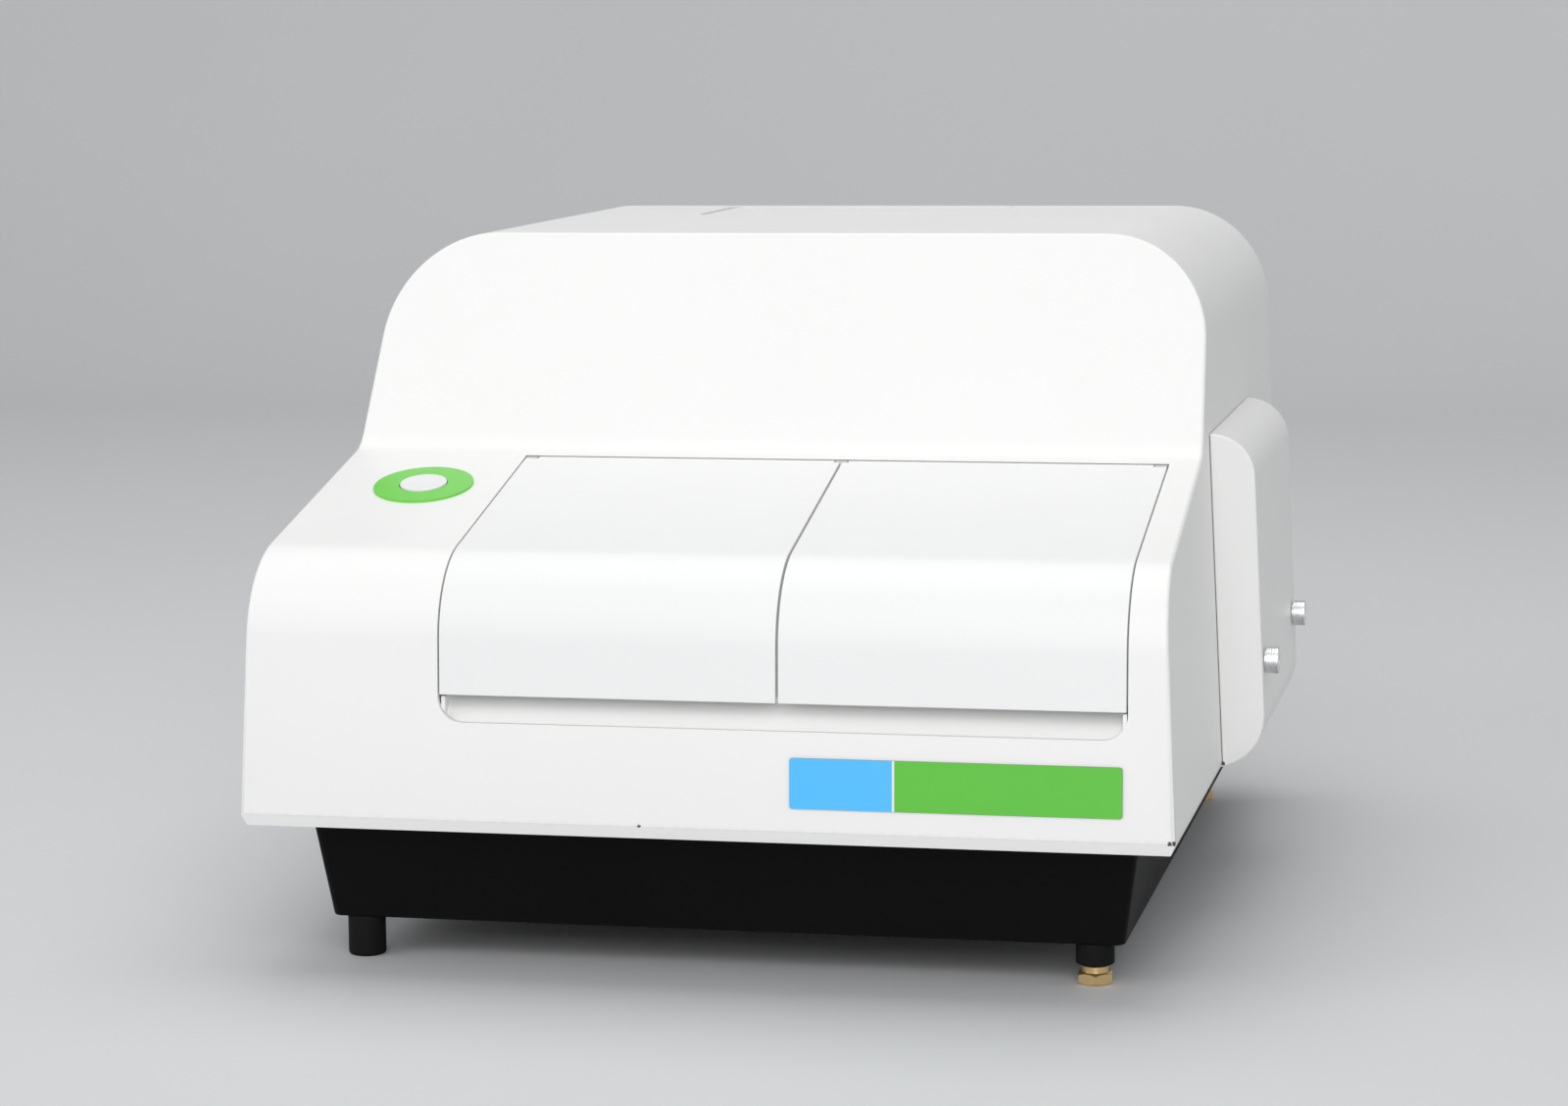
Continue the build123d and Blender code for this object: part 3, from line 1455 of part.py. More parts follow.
with BuildPart() as panel_screws:
    with BuildSketch(cover_rear_plane):
        with GridLocations(screw_across, screw_up, 2, 2):
            Circle(panel_screw_radius)
    extrude(amount=-panel_screw_height)
    with BuildSketch(cover_rear_plane.offset(-panel_screw_height)):
        with GridLocations(screw_across, screw_up, 2, 2):
            Circle(panel_screw_shank)
    extrude(amount=panel_screw_height - panel_inset - panel_sheet)
save(panel_screws.part, "panel_screws")
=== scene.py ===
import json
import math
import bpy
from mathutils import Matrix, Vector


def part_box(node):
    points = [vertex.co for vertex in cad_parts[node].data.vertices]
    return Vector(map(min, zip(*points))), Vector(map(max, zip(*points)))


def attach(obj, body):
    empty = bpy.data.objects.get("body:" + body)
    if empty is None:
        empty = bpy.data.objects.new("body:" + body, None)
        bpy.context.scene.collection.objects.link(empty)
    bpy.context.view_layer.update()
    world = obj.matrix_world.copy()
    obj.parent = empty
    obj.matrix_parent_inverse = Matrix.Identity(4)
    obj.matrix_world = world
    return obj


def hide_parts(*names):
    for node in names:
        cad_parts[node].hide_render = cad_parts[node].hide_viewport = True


bl_info = {
    "name": "Microplate reader",
    "version": (1, 0, 0),
    "blender": (4, 5, 0),
    "location": "View3D > Sidebar > Plate reader",
    "description": "Dresses the microplate reader and sets its stage",
    "category": "Object",
}

import bmesh
import bpy
from bpy.props import FloatProperty, FloatVectorProperty, IntProperty, PointerProperty
from bpy.types import Operator, Panel, PropertyGroup
from mathutils import Matrix, Vector
from mathutils.bvhtree import BVHTree
from mathutils.geometry import intersect_point_line

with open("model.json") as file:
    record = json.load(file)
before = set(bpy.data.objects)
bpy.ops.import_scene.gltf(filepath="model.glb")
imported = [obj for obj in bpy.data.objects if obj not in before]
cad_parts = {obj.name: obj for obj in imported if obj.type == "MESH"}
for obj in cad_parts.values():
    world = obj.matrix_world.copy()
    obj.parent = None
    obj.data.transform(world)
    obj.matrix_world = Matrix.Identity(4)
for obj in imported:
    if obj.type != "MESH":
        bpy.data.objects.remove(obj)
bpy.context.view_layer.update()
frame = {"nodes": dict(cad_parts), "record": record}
BODY_OF = {
    node: body
    for body, nodes in frame["record"]["behaviour"]["bodies"].items()
    for node in nodes
}

MM = 0.001
MERGE_DISTANCE = 2e-6
AXIS_MERGE = 1e-7
FLAT_ANGLE = math.radians(0.4)
CRISP_ANGLE = math.radians(24)
SHARP_ANGLE = math.radians(38)
QUARTER = math.radians(90)
# room that a bevel needs beside it, and how far round a stray point bevels are dropped, in radii
BEVEL_ROOM = 1.3
STRAY_REACH = 12
UNDERCOAT = (0.06, 0.055, 0.05)
DUST_COLOUR = (0.42, 0.41, 0.38, 1.0)
LAMP_AIM = Vector((0, 0, 0.17))
# lighter than the cover, for it lies in the doors' shadow: painted light, the cover's paint brightened where the
# doors shade the scoop
SCOOP_PAINTED_LIGHT_COLOUR = (0.91, 0.91, 0.895)
# single flakes of missing paint: x, y, z and reach in millimetres
COVER_FLAKES = ((207.7, -275.0, 79.4, 1.2), (209.8, -274.6, 79.6, 1.2), (-41.2, -275.0, 79.5, 0.9))
BOX_FLAKES = ((210.9, -70.0, 78.6, 1.1),)


# ------------------------------------------------------------------ settings
def colour(name, description, default):
    """A colour setting."""
    return FloatVectorProperty(
        name=name, description=description, default=default, subtype="COLOR", min=0, max=1,
    )


def distance(name, description, default, low, high):
    """A setting of a length in metres."""
    return FloatProperty(
        name=name, description=description, default=default, subtype="DISTANCE", min=low, max=high,
    )


def power(name, description, default):
    """A setting of a lamp's power in watts."""
    return FloatProperty(
        name=name, description=description, default=default, unit="POWER", min=0, max=400,
    )


class CasingSettings(PropertyGroup):
    """Colours and finish of the white casing and the black base."""

    cover_colour: colour(
        "Cover colour", "Powder paint of the cover, lid and side cover", (0.825, 0.825, 0.812),
    )
    door_colour: colour("Door colour", "Moulded plastic of the two doors", (0.805, 0.806, 0.803))
    base_colour: colour("Base colour", "Paint of the base pan", (0.004, 0.004, 0.0045))
    worn_height: distance(
        "Worn height", "Height of the fold along which the cover's paint is chipped", 79.5 * MM, 0, 400 * MM,
    )
    grain_size: FloatProperty(
        name="Grain per metre",
        description="Bumps of the powder paint in one metre",
        default=1400, min=100, max=8000,
    )
    chip_amount: FloatProperty(
        name="Chipping",
        description="How much of the edges has lost its paint",
        subtype="FACTOR", default=0.34, min=0, max=1,
    )
    dust_amount: FloatProperty(
        name="Dust",
        description="How much dust lies on the upper faces",
        subtype="FACTOR", default=0.10, min=0, max=1,
    )


class PrintSettings(PropertyGroup):
    """Colours of the printed plate and ring."""

    plate_blue: colour("Plate blue", "Left field of the nameplate", (0.075, 0.49, 0.96))
    plate_green: colour("Plate green", "Right field of the nameplate", (0.10, 0.50, 0.038))
    ring_green: colour("Ring green", "Bezel round the load button", (0.135, 0.59, 0.045))
    divider_left: distance("Divider", "Left end of the plate to the white line", 48.5 * MM, 10 * MM, 140 * MM)
    divider_width: distance("Divider width", "White line between the two fields", 1.0 * MM, 0.2 * MM, 5 * MM)


class HardwareSettings(PropertyGroup):
    """Screws, feet and the load button."""

    groove_count: IntProperty(
        name="Grooves", description="Grooves turned round a thumb screw's head",
        default=3, min=0, max=8,
    )
    groove_depth: distance("Groove depth", "Depth of one groove", 0.12 * MM, 0.02 * MM, 0.5 * MM)
    brass_colour: colour("Brass", "Colour of the levelling screws", (0.36, 0.21, 0.05))
    zinc_colour: colour("Plated steel", "Colour of the thumb screws", (0.78, 0.785, 0.79))
    hex_turn: FloatProperty(
        name="Hexagon turn", description="How far the levelling screws are turned",
        subtype="ANGLE", default=math.radians(-22), min=-3.2, max=3.2,
    )
    stud_pitch: distance("Stud pitch", "Pitch of the levelling screws' thread", 1.25 * MM, 0.5 * MM, 3 * MM)
    guard_wire: distance("Guard wire", "Thickness of the fan guard's wire", 1.6 * MM, 0.5 * MM, 3 * MM)
    guard_rings: IntProperty(
        name="Guard rings", description="Wire rings of the fan guard",
        default=4, min=1, max=10,
    )
    button_dish: distance("Button dish", "Depth of the hollow in the button's top", 0.5 * MM, 0, 2 * MM)


class MechanismSettings(PropertyGroup):
    """Lead screws and fan."""

    thread_lead: distance("Lead", "Travel of a nut in one turn of its screw", 20 * MM, 1 * MM, 50 * MM)
    thread_starts: IntProperty(
        name="Starts", description="Threads that wind side by side",
        default=4, min=1, max=8,
    )
    thread_depth: distance("Thread depth", "Depth of the thread's groove", 0.5 * MM, 0.1 * MM, 2 * MM)
    blade_count: IntProperty(
        name="Fan blades", description="Blades of the fan rotor",
        default=7, min=3, max=11,
    )
    blade_pitch: FloatProperty(
        name="Blade pitch", description="Tilt of a fan blade at its root",
        subtype="ANGLE", default=math.radians(46), min=math.radians(15), max=math.radians(80),
    )


class StageSettings(PropertyGroup):
    """Floor, backdrop, lamps and camera."""

    floor_colour: colour("Floor", "Colour of the floor and backdrop", (0.64, 0.645, 0.655))
    world_level: FloatProperty(
        name="World level", description="Light that comes from all round",
        default=0.52, min=0, max=2,
    )
    mirror_level: FloatProperty(
        name="Mirrored level", description="Light that glossy faces mirror from all round",
        default=0.95, min=0, max=2,
    )
    key_power: power("Key lamp", "Large soft lamp at the front, a little to the right", 34.5)
    fill_power: power("Fill lamp", "Soft lamp at the left", 16)
    top_power: power("Top lamp", "Large soft lamp overhead", 26)
    low_power: power("Low lamp", "Small lamp in front, close to the floor", 10)
    lens: FloatProperty(
        name="Lens", description="Focal length on a 36 mm sensor, in millimetres",
        default=91.49, min=20, max=300,
    )
    eye: FloatVectorProperty(
        name="Eye", description="Place of the camera",
        subtype="TRANSLATION", unit="LENGTH", default=(0.41159, -2.04970, 0.45461),
    )
    yaw: FloatProperty(
        name="Yaw", description="Turn of the camera to the left",
        subtype="ANGLE", default=0.212, min=-3.2, max=3.2,
    )
    pitch: FloatProperty(
        name="Pitch", description="Tilt of the camera down",
        subtype="ANGLE", default=0.134, min=-1.6, max=1.6,
    )
    roll: FloatProperty(
        name="Roll", description="Turn of the camera about its own axis",
        subtype="ANGLE", default=-0.010, min=-3.2, max=3.2,
    )


# ------------------------------------------------------------------ node helpers
def add_node(tree, kind, inputs=None, **settings):
    """A node with its settings made and its inputs linked or filled in."""
    made = tree.nodes.new(kind)
    for key, value in settings.items():
        setattr(made, key, value)
    for key, value in (inputs or {}).items():
        if isinstance(value, bpy.types.NodeSocket):
            tree.links.new(value, made.inputs[key])
        else:
            made.inputs[key].default_value = value
    return made


def blend_colours(tree, share, first, second):
    """Result socket of a colour mix."""
    mixer = add_node(tree, "ShaderNodeMix", {0: share, 6: first, 7: second}, data_type="RGBA")
    return mixer.outputs[2]


def spread(tree, value, low, high, out_low=0.0, out_high=1.0):
    """Result socket of a clamped map range."""
    ranged = add_node(
        tree, "ShaderNodeMapRange",
        {"Value": value, "From Min": low, "From Max": high, "To Min": out_low, "To Max": out_high},
    )
    return ranged.outputs["Result"]


def maths(tree, operation, *values):
    """Result socket of a sum, product or other operation."""
    return add_node(tree, "ShaderNodeMath", dict(enumerate(values)), operation=operation).outputs[0]


def times(tree, first, second):
    """Result socket of a product."""
    return maths(tree, "MULTIPLY", first, second)


def noise(tree, place, scale, detail, roughness=0.5):
    """Value socket of a noise texture."""
    inputs = {"Vector": place, "Scale": scale, "Detail": detail, "Roughness": roughness}
    return add_node(tree, "ShaderNodeTexNoise", inputs).outputs["Fac"]


def upward_part(tree, vector):
    """Z of a vector."""
    return add_node(tree, "ShaderNodeSeparateXYZ", {0: vector}).outputs["Z"]


def fill_grain(tree, given, made):
    """Fine bumps of paint or moulded plastic, and slow clouds for its tint."""
    fine = noise(tree, given["Place"], given["Grain"], 2.5, 0.55)
    slow = noise(tree, given["Place"], given["Clouds"], 4.0, 0.6)
    tree.links.new(fine, made["Height"])
    tree.links.new(spread(tree, slow, 0.3, 0.7), made["Mottle"])


def fill_wear(tree, given, made):
    """Chipped and rubbed places along the edges that the mask marks."""
    flakes = noise(tree, given["Place"], given["Chips"], 5.0, 0.65)
    limit = maths(tree, "SUBTRACT", 0.80, times(tree, given["Amount"], 0.25))
    bare = spread(tree, maths(tree, "SUBTRACT", flakes, limit), 0.0, 0.015)
    soft = spread(tree, flakes, 0.42, 0.72)
    tree.links.new(times(tree, bare, given["Edge"]), made["Bare"])
    tree.links.new(times(tree, soft, given["Edge"]), made["Rubbed"])


def fill_dust(tree, given, made):
    """Dust that has settled on faces that look up."""
    height = upward_part(tree, add_node(tree, "ShaderNodeNewGeometry").outputs["Normal"])
    drift = noise(tree, given["Place"], 22.0, 6.0, 0.7)
    lying = times(tree, spread(tree, height, 0.4, 1.0), spread(tree, drift, 0.35, 0.7))
    tree.links.new(times(tree, lying, given["Amount"]), made["Dust"])


def fill_marks(tree, given, made):
    """Fine lines that a lathe, mill or brush leaves, stretched along the axes given."""
    pulled = add_node(
        tree, "ShaderNodeVectorMath", {0: given["Place"], 1: given["Lines"]}, operation="MULTIPLY",
    )
    lines = noise(tree, pulled.outputs[0], 1.0, 3.0, 0.7)
    tree.links.new(lines, made["Height"])
    tree.links.new(spread(tree, lines, 0.3, 0.7), made["Streak"])


# group: (what fills it, its inputs besides the place, its outputs)
GROUPS = {
    "Surface grain": (fill_grain, {"Grain": 1400.0, "Clouds": 9.0}, ("Height", "Mottle")),
    "Edge wear": (fill_wear, {"Edge": 0.0, "Chips": 60.0, "Amount": 0.3}, ("Bare", "Rubbed")),
    "Settled dust": (fill_dust, {"Amount": 0.1}, ("Dust",)),
    "Tool marks": (fill_marks, {"Lines": (400.0, 400.0, 400.0)}, ("Height", "Streak")),
}


def use_group(tree, name, place, **inputs):
    """Outputs of a shared group, placed in a material with its own values."""
    group = bpy.data.node_groups.get(name)
    if group is None:
        fill, given, made = GROUPS[name]
        group = bpy.data.node_groups.new(name, "ShaderNodeTree")
        group.interface.new_socket("Place", in_out="INPUT", socket_type="NodeSocketVector")
        for label, value in given.items():
            kind = "NodeSocketVector" if isinstance(value, tuple) else "NodeSocketFloat"
            group.interface.new_socket(label, in_out="INPUT", socket_type=kind).default_value = value
        for label in made:
            group.interface.new_socket(label, in_out="OUTPUT", socket_type="NodeSocketFloat")
        entry, result = group.nodes.new("NodeGroupInput"), group.nodes.new("NodeGroupOutput")
        fill(group, entry.outputs, result.inputs)
    return add_node(tree, "ShaderNodeGroup", {"Place": place, **inputs}, node_tree=group).outputs


def start_material(name, **constants):
    """A material with a Principled shader and constants on its own sockets."""
    material = bpy.data.materials.new(name)
    material.use_nodes = True
    tree = material.node_tree
    tree.nodes.clear()
    shader = add_node(tree, "ShaderNodeBsdfPrincipled")
    for key, value in constants.items():
        shader.inputs[key.replace("_", " ")].default_value = value
    surface = tree.nodes.new("ShaderNodeOutputMaterial")
    tree.links.new(shader.outputs["BSDF"], surface.inputs["Surface"])
    place = add_node(tree, "ShaderNodeTexCoord").outputs["Object"]
    return material, tree, shader, place


def add_bump(tree, shader, height, depth):
    """Relief of the given depth in metres."""
    bump = add_node(tree, "ShaderNodeBump", {"Height": height, "Strength": 1.0, "Distance": depth})
    tree.links.new(bump.outputs["Normal"], shader.inputs["Normal"])


def chipped_at(tree, place, spots):
    """Mask of single flakes at chosen places, each x, y, z and reach in millimetres."""
    ragged = noise(tree, place, 1500.0, 3.0)
    shift = spread(tree, ragged, 0.3, 0.7, -0.4 * MM, 0.4 * MM)
    mask = None
    for x, y, z, reach in spots:
        spot = (x * MM, y * MM, z * MM)
        far = add_node(tree, "ShaderNodeVectorMath", {0: place, 1: spot}, operation="DISTANCE")
        near = maths(tree, "ADD", far.outputs["Value"], shift)
        flake = spread(tree, near, reach * MM, 0.85 * reach * MM)
        mask = flake if mask is None else maths(tree, "MAXIMUM", mask, flake)
    return mask


def near_fold(tree, place, height):
    """Mask of a band a millimetre or so either side of a height."""
    above = maths(tree, "SUBTRACT", upward_part(tree, place), height)
    return spread(tree, maths(tree, "ABSOLUTE", above), 1.5 * MM, 0.8 * MM)


def rgba(colour, level=1.0):
    """Four channels of a colour, darkened by the level."""
    return tuple(min(1.0, channel * level) for channel in colour[:3]) + (1.0,)


def coated(
    name, colour, gloss, grain, relief, chips=0.0, under=(0.10, 0.10, 0.10), dust=0.0, shade=0.94, clouds=9.0,
    chip_size=70.0, sway=0.045, worn_height=None, spots=(), **constants,
):
    """Paint, print or moulded plastic: grain, mottling, dust, and chips down to what lies under."""
    material, tree, shader, place = start_material(name, **constants)
    texture = use_group(tree, "Surface grain", place, Grain=grain, Clouds=clouds)
    tint = blend_colours(tree, texture["Mottle"], rgba(colour, shade), rgba(colour))
    if dust:
        lying = use_group(tree, "Settled dust", place, Amount=dust)["Dust"]
        tint = blend_colours(tree, lying, tint, DUST_COLOUR)
    rough = spread(tree, texture["Mottle"], 0.0, 1.0, gloss - sway, gloss + sway)
    if chips:
        if worn_height:
            edge = near_fold(tree, place, worn_height)
        else:
            edge = add_node(tree, "ShaderNodeAttribute", attribute_name="edge").outputs["Fac"]
        worn = use_group(tree, "Edge wear", place, Edge=edge, Chips=chip_size, Amount=chips)
        rubbed = times(tree, worn["Rubbed"], 0.25)
        tint = blend_colours(tree, rubbed, tint, rgba(colour, 0.72))
        tint = blend_colours(tree, worn["Bare"], tint, rgba(under))
    if spots:
        tint = blend_colours(tree, chipped_at(tree, place, spots), tint, rgba(under))
    tree.links.new(tint, shader.inputs["Base Color"])
    tree.links.new(rough, shader.inputs["Roughness"])
    add_bump(tree, shader, texture["Height"], relief)
    return material


def machined(
    name, colour, gloss, lines, relief, dull=0.80, stain=0.0, stain_colour=(0.2, 0.13, 0.05),
):
    """Bare metal: tool marks in its relief, tint and gloss, and slow staining."""
    material, tree, shader, place = start_material(name, Metallic=1.0)
    marks = use_group(tree, "Tool marks", place, Lines=lines)
    texture = use_group(tree, "Surface grain", place, Grain=900.0, Clouds=45.0)
    tint = blend_colours(tree, marks["Streak"], rgba(colour, dull), rgba(colour))
    if stain:
        stained = times(tree, texture["Mottle"], stain)
        tint = blend_colours(tree, stained, tint, rgba(stain_colour))
    rough = spread(tree, marks["Streak"], 0.0, 1.0, gloss + 0.08, gloss - 0.05)
    tree.links.new(tint, shader.inputs["Base Color"])
    tree.links.new(rough, shader.inputs["Roughness"])
    add_bump(tree, shader, marks["Height"], relief)
    return material


def clear_glass(name, tint, gloss):
    """Glass with faint wipe marks in its gloss."""
    material, tree, shader, place = start_material(name, Transmission_Weight=1.0, IOR=1.5)
    texture = use_group(tree, "Surface grain", place, Grain=300.0, Clouds=60.0)
    tint = blend_colours(tree, texture["Mottle"], rgba(tint, 0.96), rgba(tint))
    tree.links.new(tint, shader.inputs["Base Color"])
    rough = spread(tree, texture["Mottle"], 0.0, 1.0, gloss, gloss + 0.05)
    tree.links.new(rough, shader.inputs["Roughness"])
    return material


def circuit_green(name):
    """Solder mask over copper tracks."""
    material, tree, shader, place = start_material(name, Coat_Weight=0.3)
    texture = use_group(tree, "Surface grain", place, Grain=2000.0, Clouds=30.0)
    tracks = add_node(
        tree, "ShaderNodeTexVoronoi", {"Vector": place, "Scale": 160.0}, feature="F2", distance="CHEBYCHEV",
    )
    line = spread(tree, tracks.outputs["Distance"], 0.52, 0.58)
    mask = blend_colours(tree, texture["Mottle"], (0.004, 0.075, 0.022, 1), (0.006, 0.11, 0.03, 1))
    tint = blend_colours(tree, line, mask, (0.02, 0.17, 0.05, 1))
    tree.links.new(tint, shader.inputs["Base Color"])
    rough = spread(tree, texture["Mottle"], 0.0, 1.0, 0.3, 0.42)
    tree.links.new(rough, shader.inputs["Roughness"])
    add_bump(tree, shader, line, 0.05 * MM)
    return material


def finish_named(key):
    """The finish of that name, made when it is first asked for."""
    if key in bpy.data.materials:
        return bpy.data.materials[key]
    scene = bpy.context.scene
    casing, prints, hardware = scene.reader_casing, scene.reader_prints, scene.reader_hardware
    # gloss, grain and relief of the powder paint and of the printed film
    powder = 0.42, casing.grain_size, 0.00001
    film = 0.33, 1800.0, 0.000005
    paint = {"under": UNDERCOAT, "dust": casing.dust_amount * 0.5, "shade": 0.988, "sway": 0.015}
    folded = {
        **paint, "chips": casing.chip_amount, "chip_size": 240.0, "worn_height": casing.worn_height,
    }
    boxed = {**paint, "chips": casing.chip_amount * 0.8, "chip_size": 150.0, "spots": BOX_FLAKES}
    printed = {"chips": 0.30, "under": (0.55, 0.56, 0.58), "chip_size": 260.0, "sway": 0.02}
    # colour, gloss and, in the last place, relief and dullness of ground steel
    steel, ground = ((0.58, 0.585, 0.60), 0.20), {"relief": 0.000004, "dull": 0.86}
    rows = {
        "cover paint": (coated, casing.cover_colour, *powder, {**folded, "spots": COVER_FLAKES}),
        # painted light: the cover's paint made lighter to make up for the doors' shadow on the scoop
        "scoop paint": (coated, SCOOP_PAINTED_LIGHT_COLOUR, *powder, folded),
        "box paint": (coated, casing.cover_colour, *powder, boxed),
        "frame plastic": (coated, (0.50, 0.505, 0.51), 0.46, 2000.0, 0.00001, {"shade": 0.96}),
        "door plastic": (
            coated, casing.door_colour, 0.38, 2600.0, 0.000005,
            {"dust": casing.dust_amount * 0.4, "shade": 0.99, "sway": 0.012},
        ),
        "base paint": (
            coated, casing.base_colour, 0.55, 1100.0, 0.00003,
            {"chips": 0.25, "shade": 0.7, "chip_size": 180.0, "Specular_IOR_Level": 0.07},
        ),
        "foot rubber": (
            coated, (0.010, 0.010, 0.010), 0.66, 1500.0, 0.00004,
            {"shade": 0.6, "dust": 0.03, "Specular_IOR_Level": 0.08},
        ),
        "plate blue": (coated, prints.plate_blue, *film, {**printed, "shade": 0.975}),
        "plate white": (coated, (0.82, 0.82, 0.82), *film, {"shade": 0.96}),
        "plate green": (coated, prints.plate_green, *film, {**printed, "shade": 0.97}),
        "plate edge": (coated, (0.05, 0.055, 0.06), 0.4, 1500.0, 0.000005, {"shade": 0.7}),
        "ring print": (
            coated, prints.ring_green, 0.35, 1600.0, 0.000006,
            {"chips": 0.25, "under": (0.6, 0.6, 0.58), "shade": 0.95},
        ),
        "button plastic": (
            coated, (0.78, 0.785, 0.79), 0.40, 2200.0, 0.000006, {"dust": 0.12, "shade": 0.96},
        ),
        "black plastic": (
            coated, (0.014, 0.014, 0.015), 0.44, 1700.0, 0.00002,
            {"chips": 0.2, "under": (0.07, 0.07, 0.07), "shade": 0.7},
        ),
        "motor enamel": (
            coated, (0.02, 0.02, 0.022), 0.34, 900.0, 0.00002,
            {"chips": 0.4, "under": (0.30, 0.30, 0.31), "shade": 0.75},
        ),
        "black anodised": (
            coated, (0.018, 0.019, 0.021), 0.38, 3200.0, 0.00001,
            {"chips": 0.4, "under": (0.45, 0.46, 0.48), "shade": 0.8},
        ),
        "brass": (
            machined, hardware.brass_colour, 0.20, (60.0, 60.0, 5000.0), 0.000006,
            {"dull": 0.74, "stain": 0.35, "stain_colour": (0.20, 0.11, 0.03)},
        ),
        "plated steel": (
            machined, hardware.zinc_colour, 0.25, (5200.0, 60.0, 60.0), 0.000004,
            {"dull": 0.93, "stain": 0.08, "stain_colour": (0.45, 0.45, 0.43)},
        ),
        "ground steel": (machined, *steel, (50.0, 3800.0, 50.0), ground),
        "ground steel across": (machined, *steel, (3800.0, 50.0, 50.0), ground),
        "aluminium": (machined, (0.66, 0.67, 0.69), 0.34, (30.0, 1500.0, 900.0), 0.000006, {"dull": 0.86}),
        "supply case": (
            machined, (0.50, 0.51, 0.52), 0.32, (700.0, 60.0, 60.0), 0.000006,
            {"dull": 0.82, "stain": 0.25, "stain_colour": (0.30, 0.31, 0.31)},
        ),
        "lens glass": (clear_glass, (0.93, 0.97, 0.98), 0.02, {}),
        "circuit green": (circuit_green, {}),
    }
    maker, *values, options = rows[key]
    return maker(key, *values, **options)


# ------------------------------------------------------------------ mesh helpers
def add_object(name, data):
    """An object in the scene, at the origin."""
    made = bpy.data.objects.new(name, data)
    bpy.context.scene.collection.objects.link(made)
    return made


def put_piece(bm, node, finishes, sharp=SHARP_ANGLE):
    """Makes the bmesh a shaded piece that stands for a CAD node and rides on its body."""
    name = node + "_piece"
    mesh = bpy.data.meshes.new(name)
    bm.to_mesh(mesh)
    bm.free()
    for left_over in ("custom_normal", "sharp_face"):
        if left_over in mesh.attributes:
            mesh.attributes.remove(mesh.attributes[left_over])
    mesh.shade_smooth()
    mesh.set_sharp_from_angle(angle=sharp)
    for key in finishes:
        mesh.materials.append(finish_named(key))
    piece = add_object(name, mesh)
    weighted = piece.modifiers.new("Even shading", "WEIGHTED_NORMAL")
    weighted.mode = "FACE_AREA_WITH_ANGLE"
    weighted.keep_sharp = True
    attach(piece, BODY_OF[node])
    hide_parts(node)


def merged_copy(node):
    """The CAD node's mesh with its triangles joined into whole faces."""
    bm = bmesh.new()
    bm.from_mesh(frame["nodes"][node].data)
    bmesh.ops.remove_doubles(bm, verts=bm.verts, dist=MERGE_DISTANCE)
    bmesh.ops.dissolve_limit(
        bm, angle_limit=FLAT_ANGLE, use_dissolve_boundaries=False, verts=bm.verts, edges=bm.edges,
        delimit=set(),
    )
    return bm


def soften(bm, radius, segments=2, angle=CRISP_ANGLE):
    """Rounds the crisp edges that have room for it, and marks them as open to wear.

    A bevel that throws a point off the surface is dropped, with the bevels round it.
    """
    def has_room(edge):
        for vertex in edge.verts:
            for other in vertex.link_edges:
                if other in crisp or len(other.link_faces) != 2:
                    continue
                if other.calc_length() < BEVEL_ROOM * radius:
                    return False
        return True

    def rounded(shape, edges):
        return bmesh.ops.bevel(
            shape, geom=edges, offset=radius, offset_type="OFFSET", segments=segments, profile=0.5,
            affect="EDGES", clamp_overlap=False, material=-1, loop_slide=True,
        )["faces"]

    def strays(spot):
        return surface.find_nearest(spot)[3] > radius

    layer = bm.loops.layers.float.new("edge")
    if radius <= 0:
        return bm
    crisp = {e for e in bm.edges if len(e.link_faces) == 2 and e.calc_face_angle(0.0) > angle}
    chosen = [e for e in bm.edges if e in crisp and has_room(e)]
    surface = BVHTree.FromBMesh(bm)
    while chosen:
        bm.edges.index_update()
        trial = bm.copy()
        trial.edges.ensure_lookup_table()
        rounded(trial, [trial.edges[e.index] for e in chosen])
        spots = [v.co.copy() for v in trial.verts]
        spots += [f.calc_center_median() for f in trial.faces if len(f.verts) < 5]
        astray = [spot for spot in spots if strays(spot)]
        trial.free()
        if not astray:
            break
        reach = STRAY_REACH * radius
        kept = [e for e in chosen if not any(close_to(e, spot, reach) for spot in astray)]
        chosen = kept if len(kept) < len(chosen) else []
    if chosen:
        for face in rounded(bm, chosen):
            for corner in face.loops:
                corner[layer] = 1.0


def close_to(edge, point, reach):
    """True where a point lies within reach of an edge."""
    start, end = (v.co for v in edge.verts)
    share = max(0.0, min(1.0, intersect_point_line(point, start, end)[1]))
    return (start + (end - start) * share - point).length < reach


def put_in_order(bm):
    """Sorts a spun shape, whose parts come out in a new order each run."""
    for parts, key in (
        (bm.verts, lambda vert: vert.co[:]),
        (bm.edges, lambda edge: sorted(vert.index for vert in edge.verts)),
        (bm.faces, lambda face: sorted(vert.index for vert in face.verts)),
    ):
        for place, part in enumerate(sorted(parts, key=key)):
            part.index = place
        parts.sort()
        parts.index_update()


def turned(profile, steps, closed=False):
    """A closed shape turned about Z from (radius, height) points."""
    bm = bmesh.new()
    verts = [bm.verts.new((radius, 0.0, height)) for radius, height in profile]
    edges = [bm.edges.new(pair) for pair in zip(verts, verts[1:])]
    if closed:
        edges.append(bm.edges.new((verts[-1], verts[0])))
    bmesh.ops.spin(
        bm, geom=verts + edges, cent=(0, 0, 0), axis=(0, 0, 1), angle=math.tau, steps=steps, use_merge=True,
    )
    bmesh.ops.remove_doubles(bm, verts=bm.verts, dist=AXIS_MERGE)
    put_in_order(bm)
    bmesh.ops.recalc_face_normals(bm, faces=bm.faces)
    return bm


def join(bm, other):
    """Adds another bmesh's shape to this one."""
    carrier = bpy.data.meshes.new("carrier")
    other.to_mesh(carrier)
    other.free()
    bm.from_mesh(carrier)
    bpy.data.meshes.remove(carrier)


def move(bm, matrix):
    """Moves a whole bmesh."""
    bmesh.ops.transform(bm, verts=bm.verts, matrix=matrix)


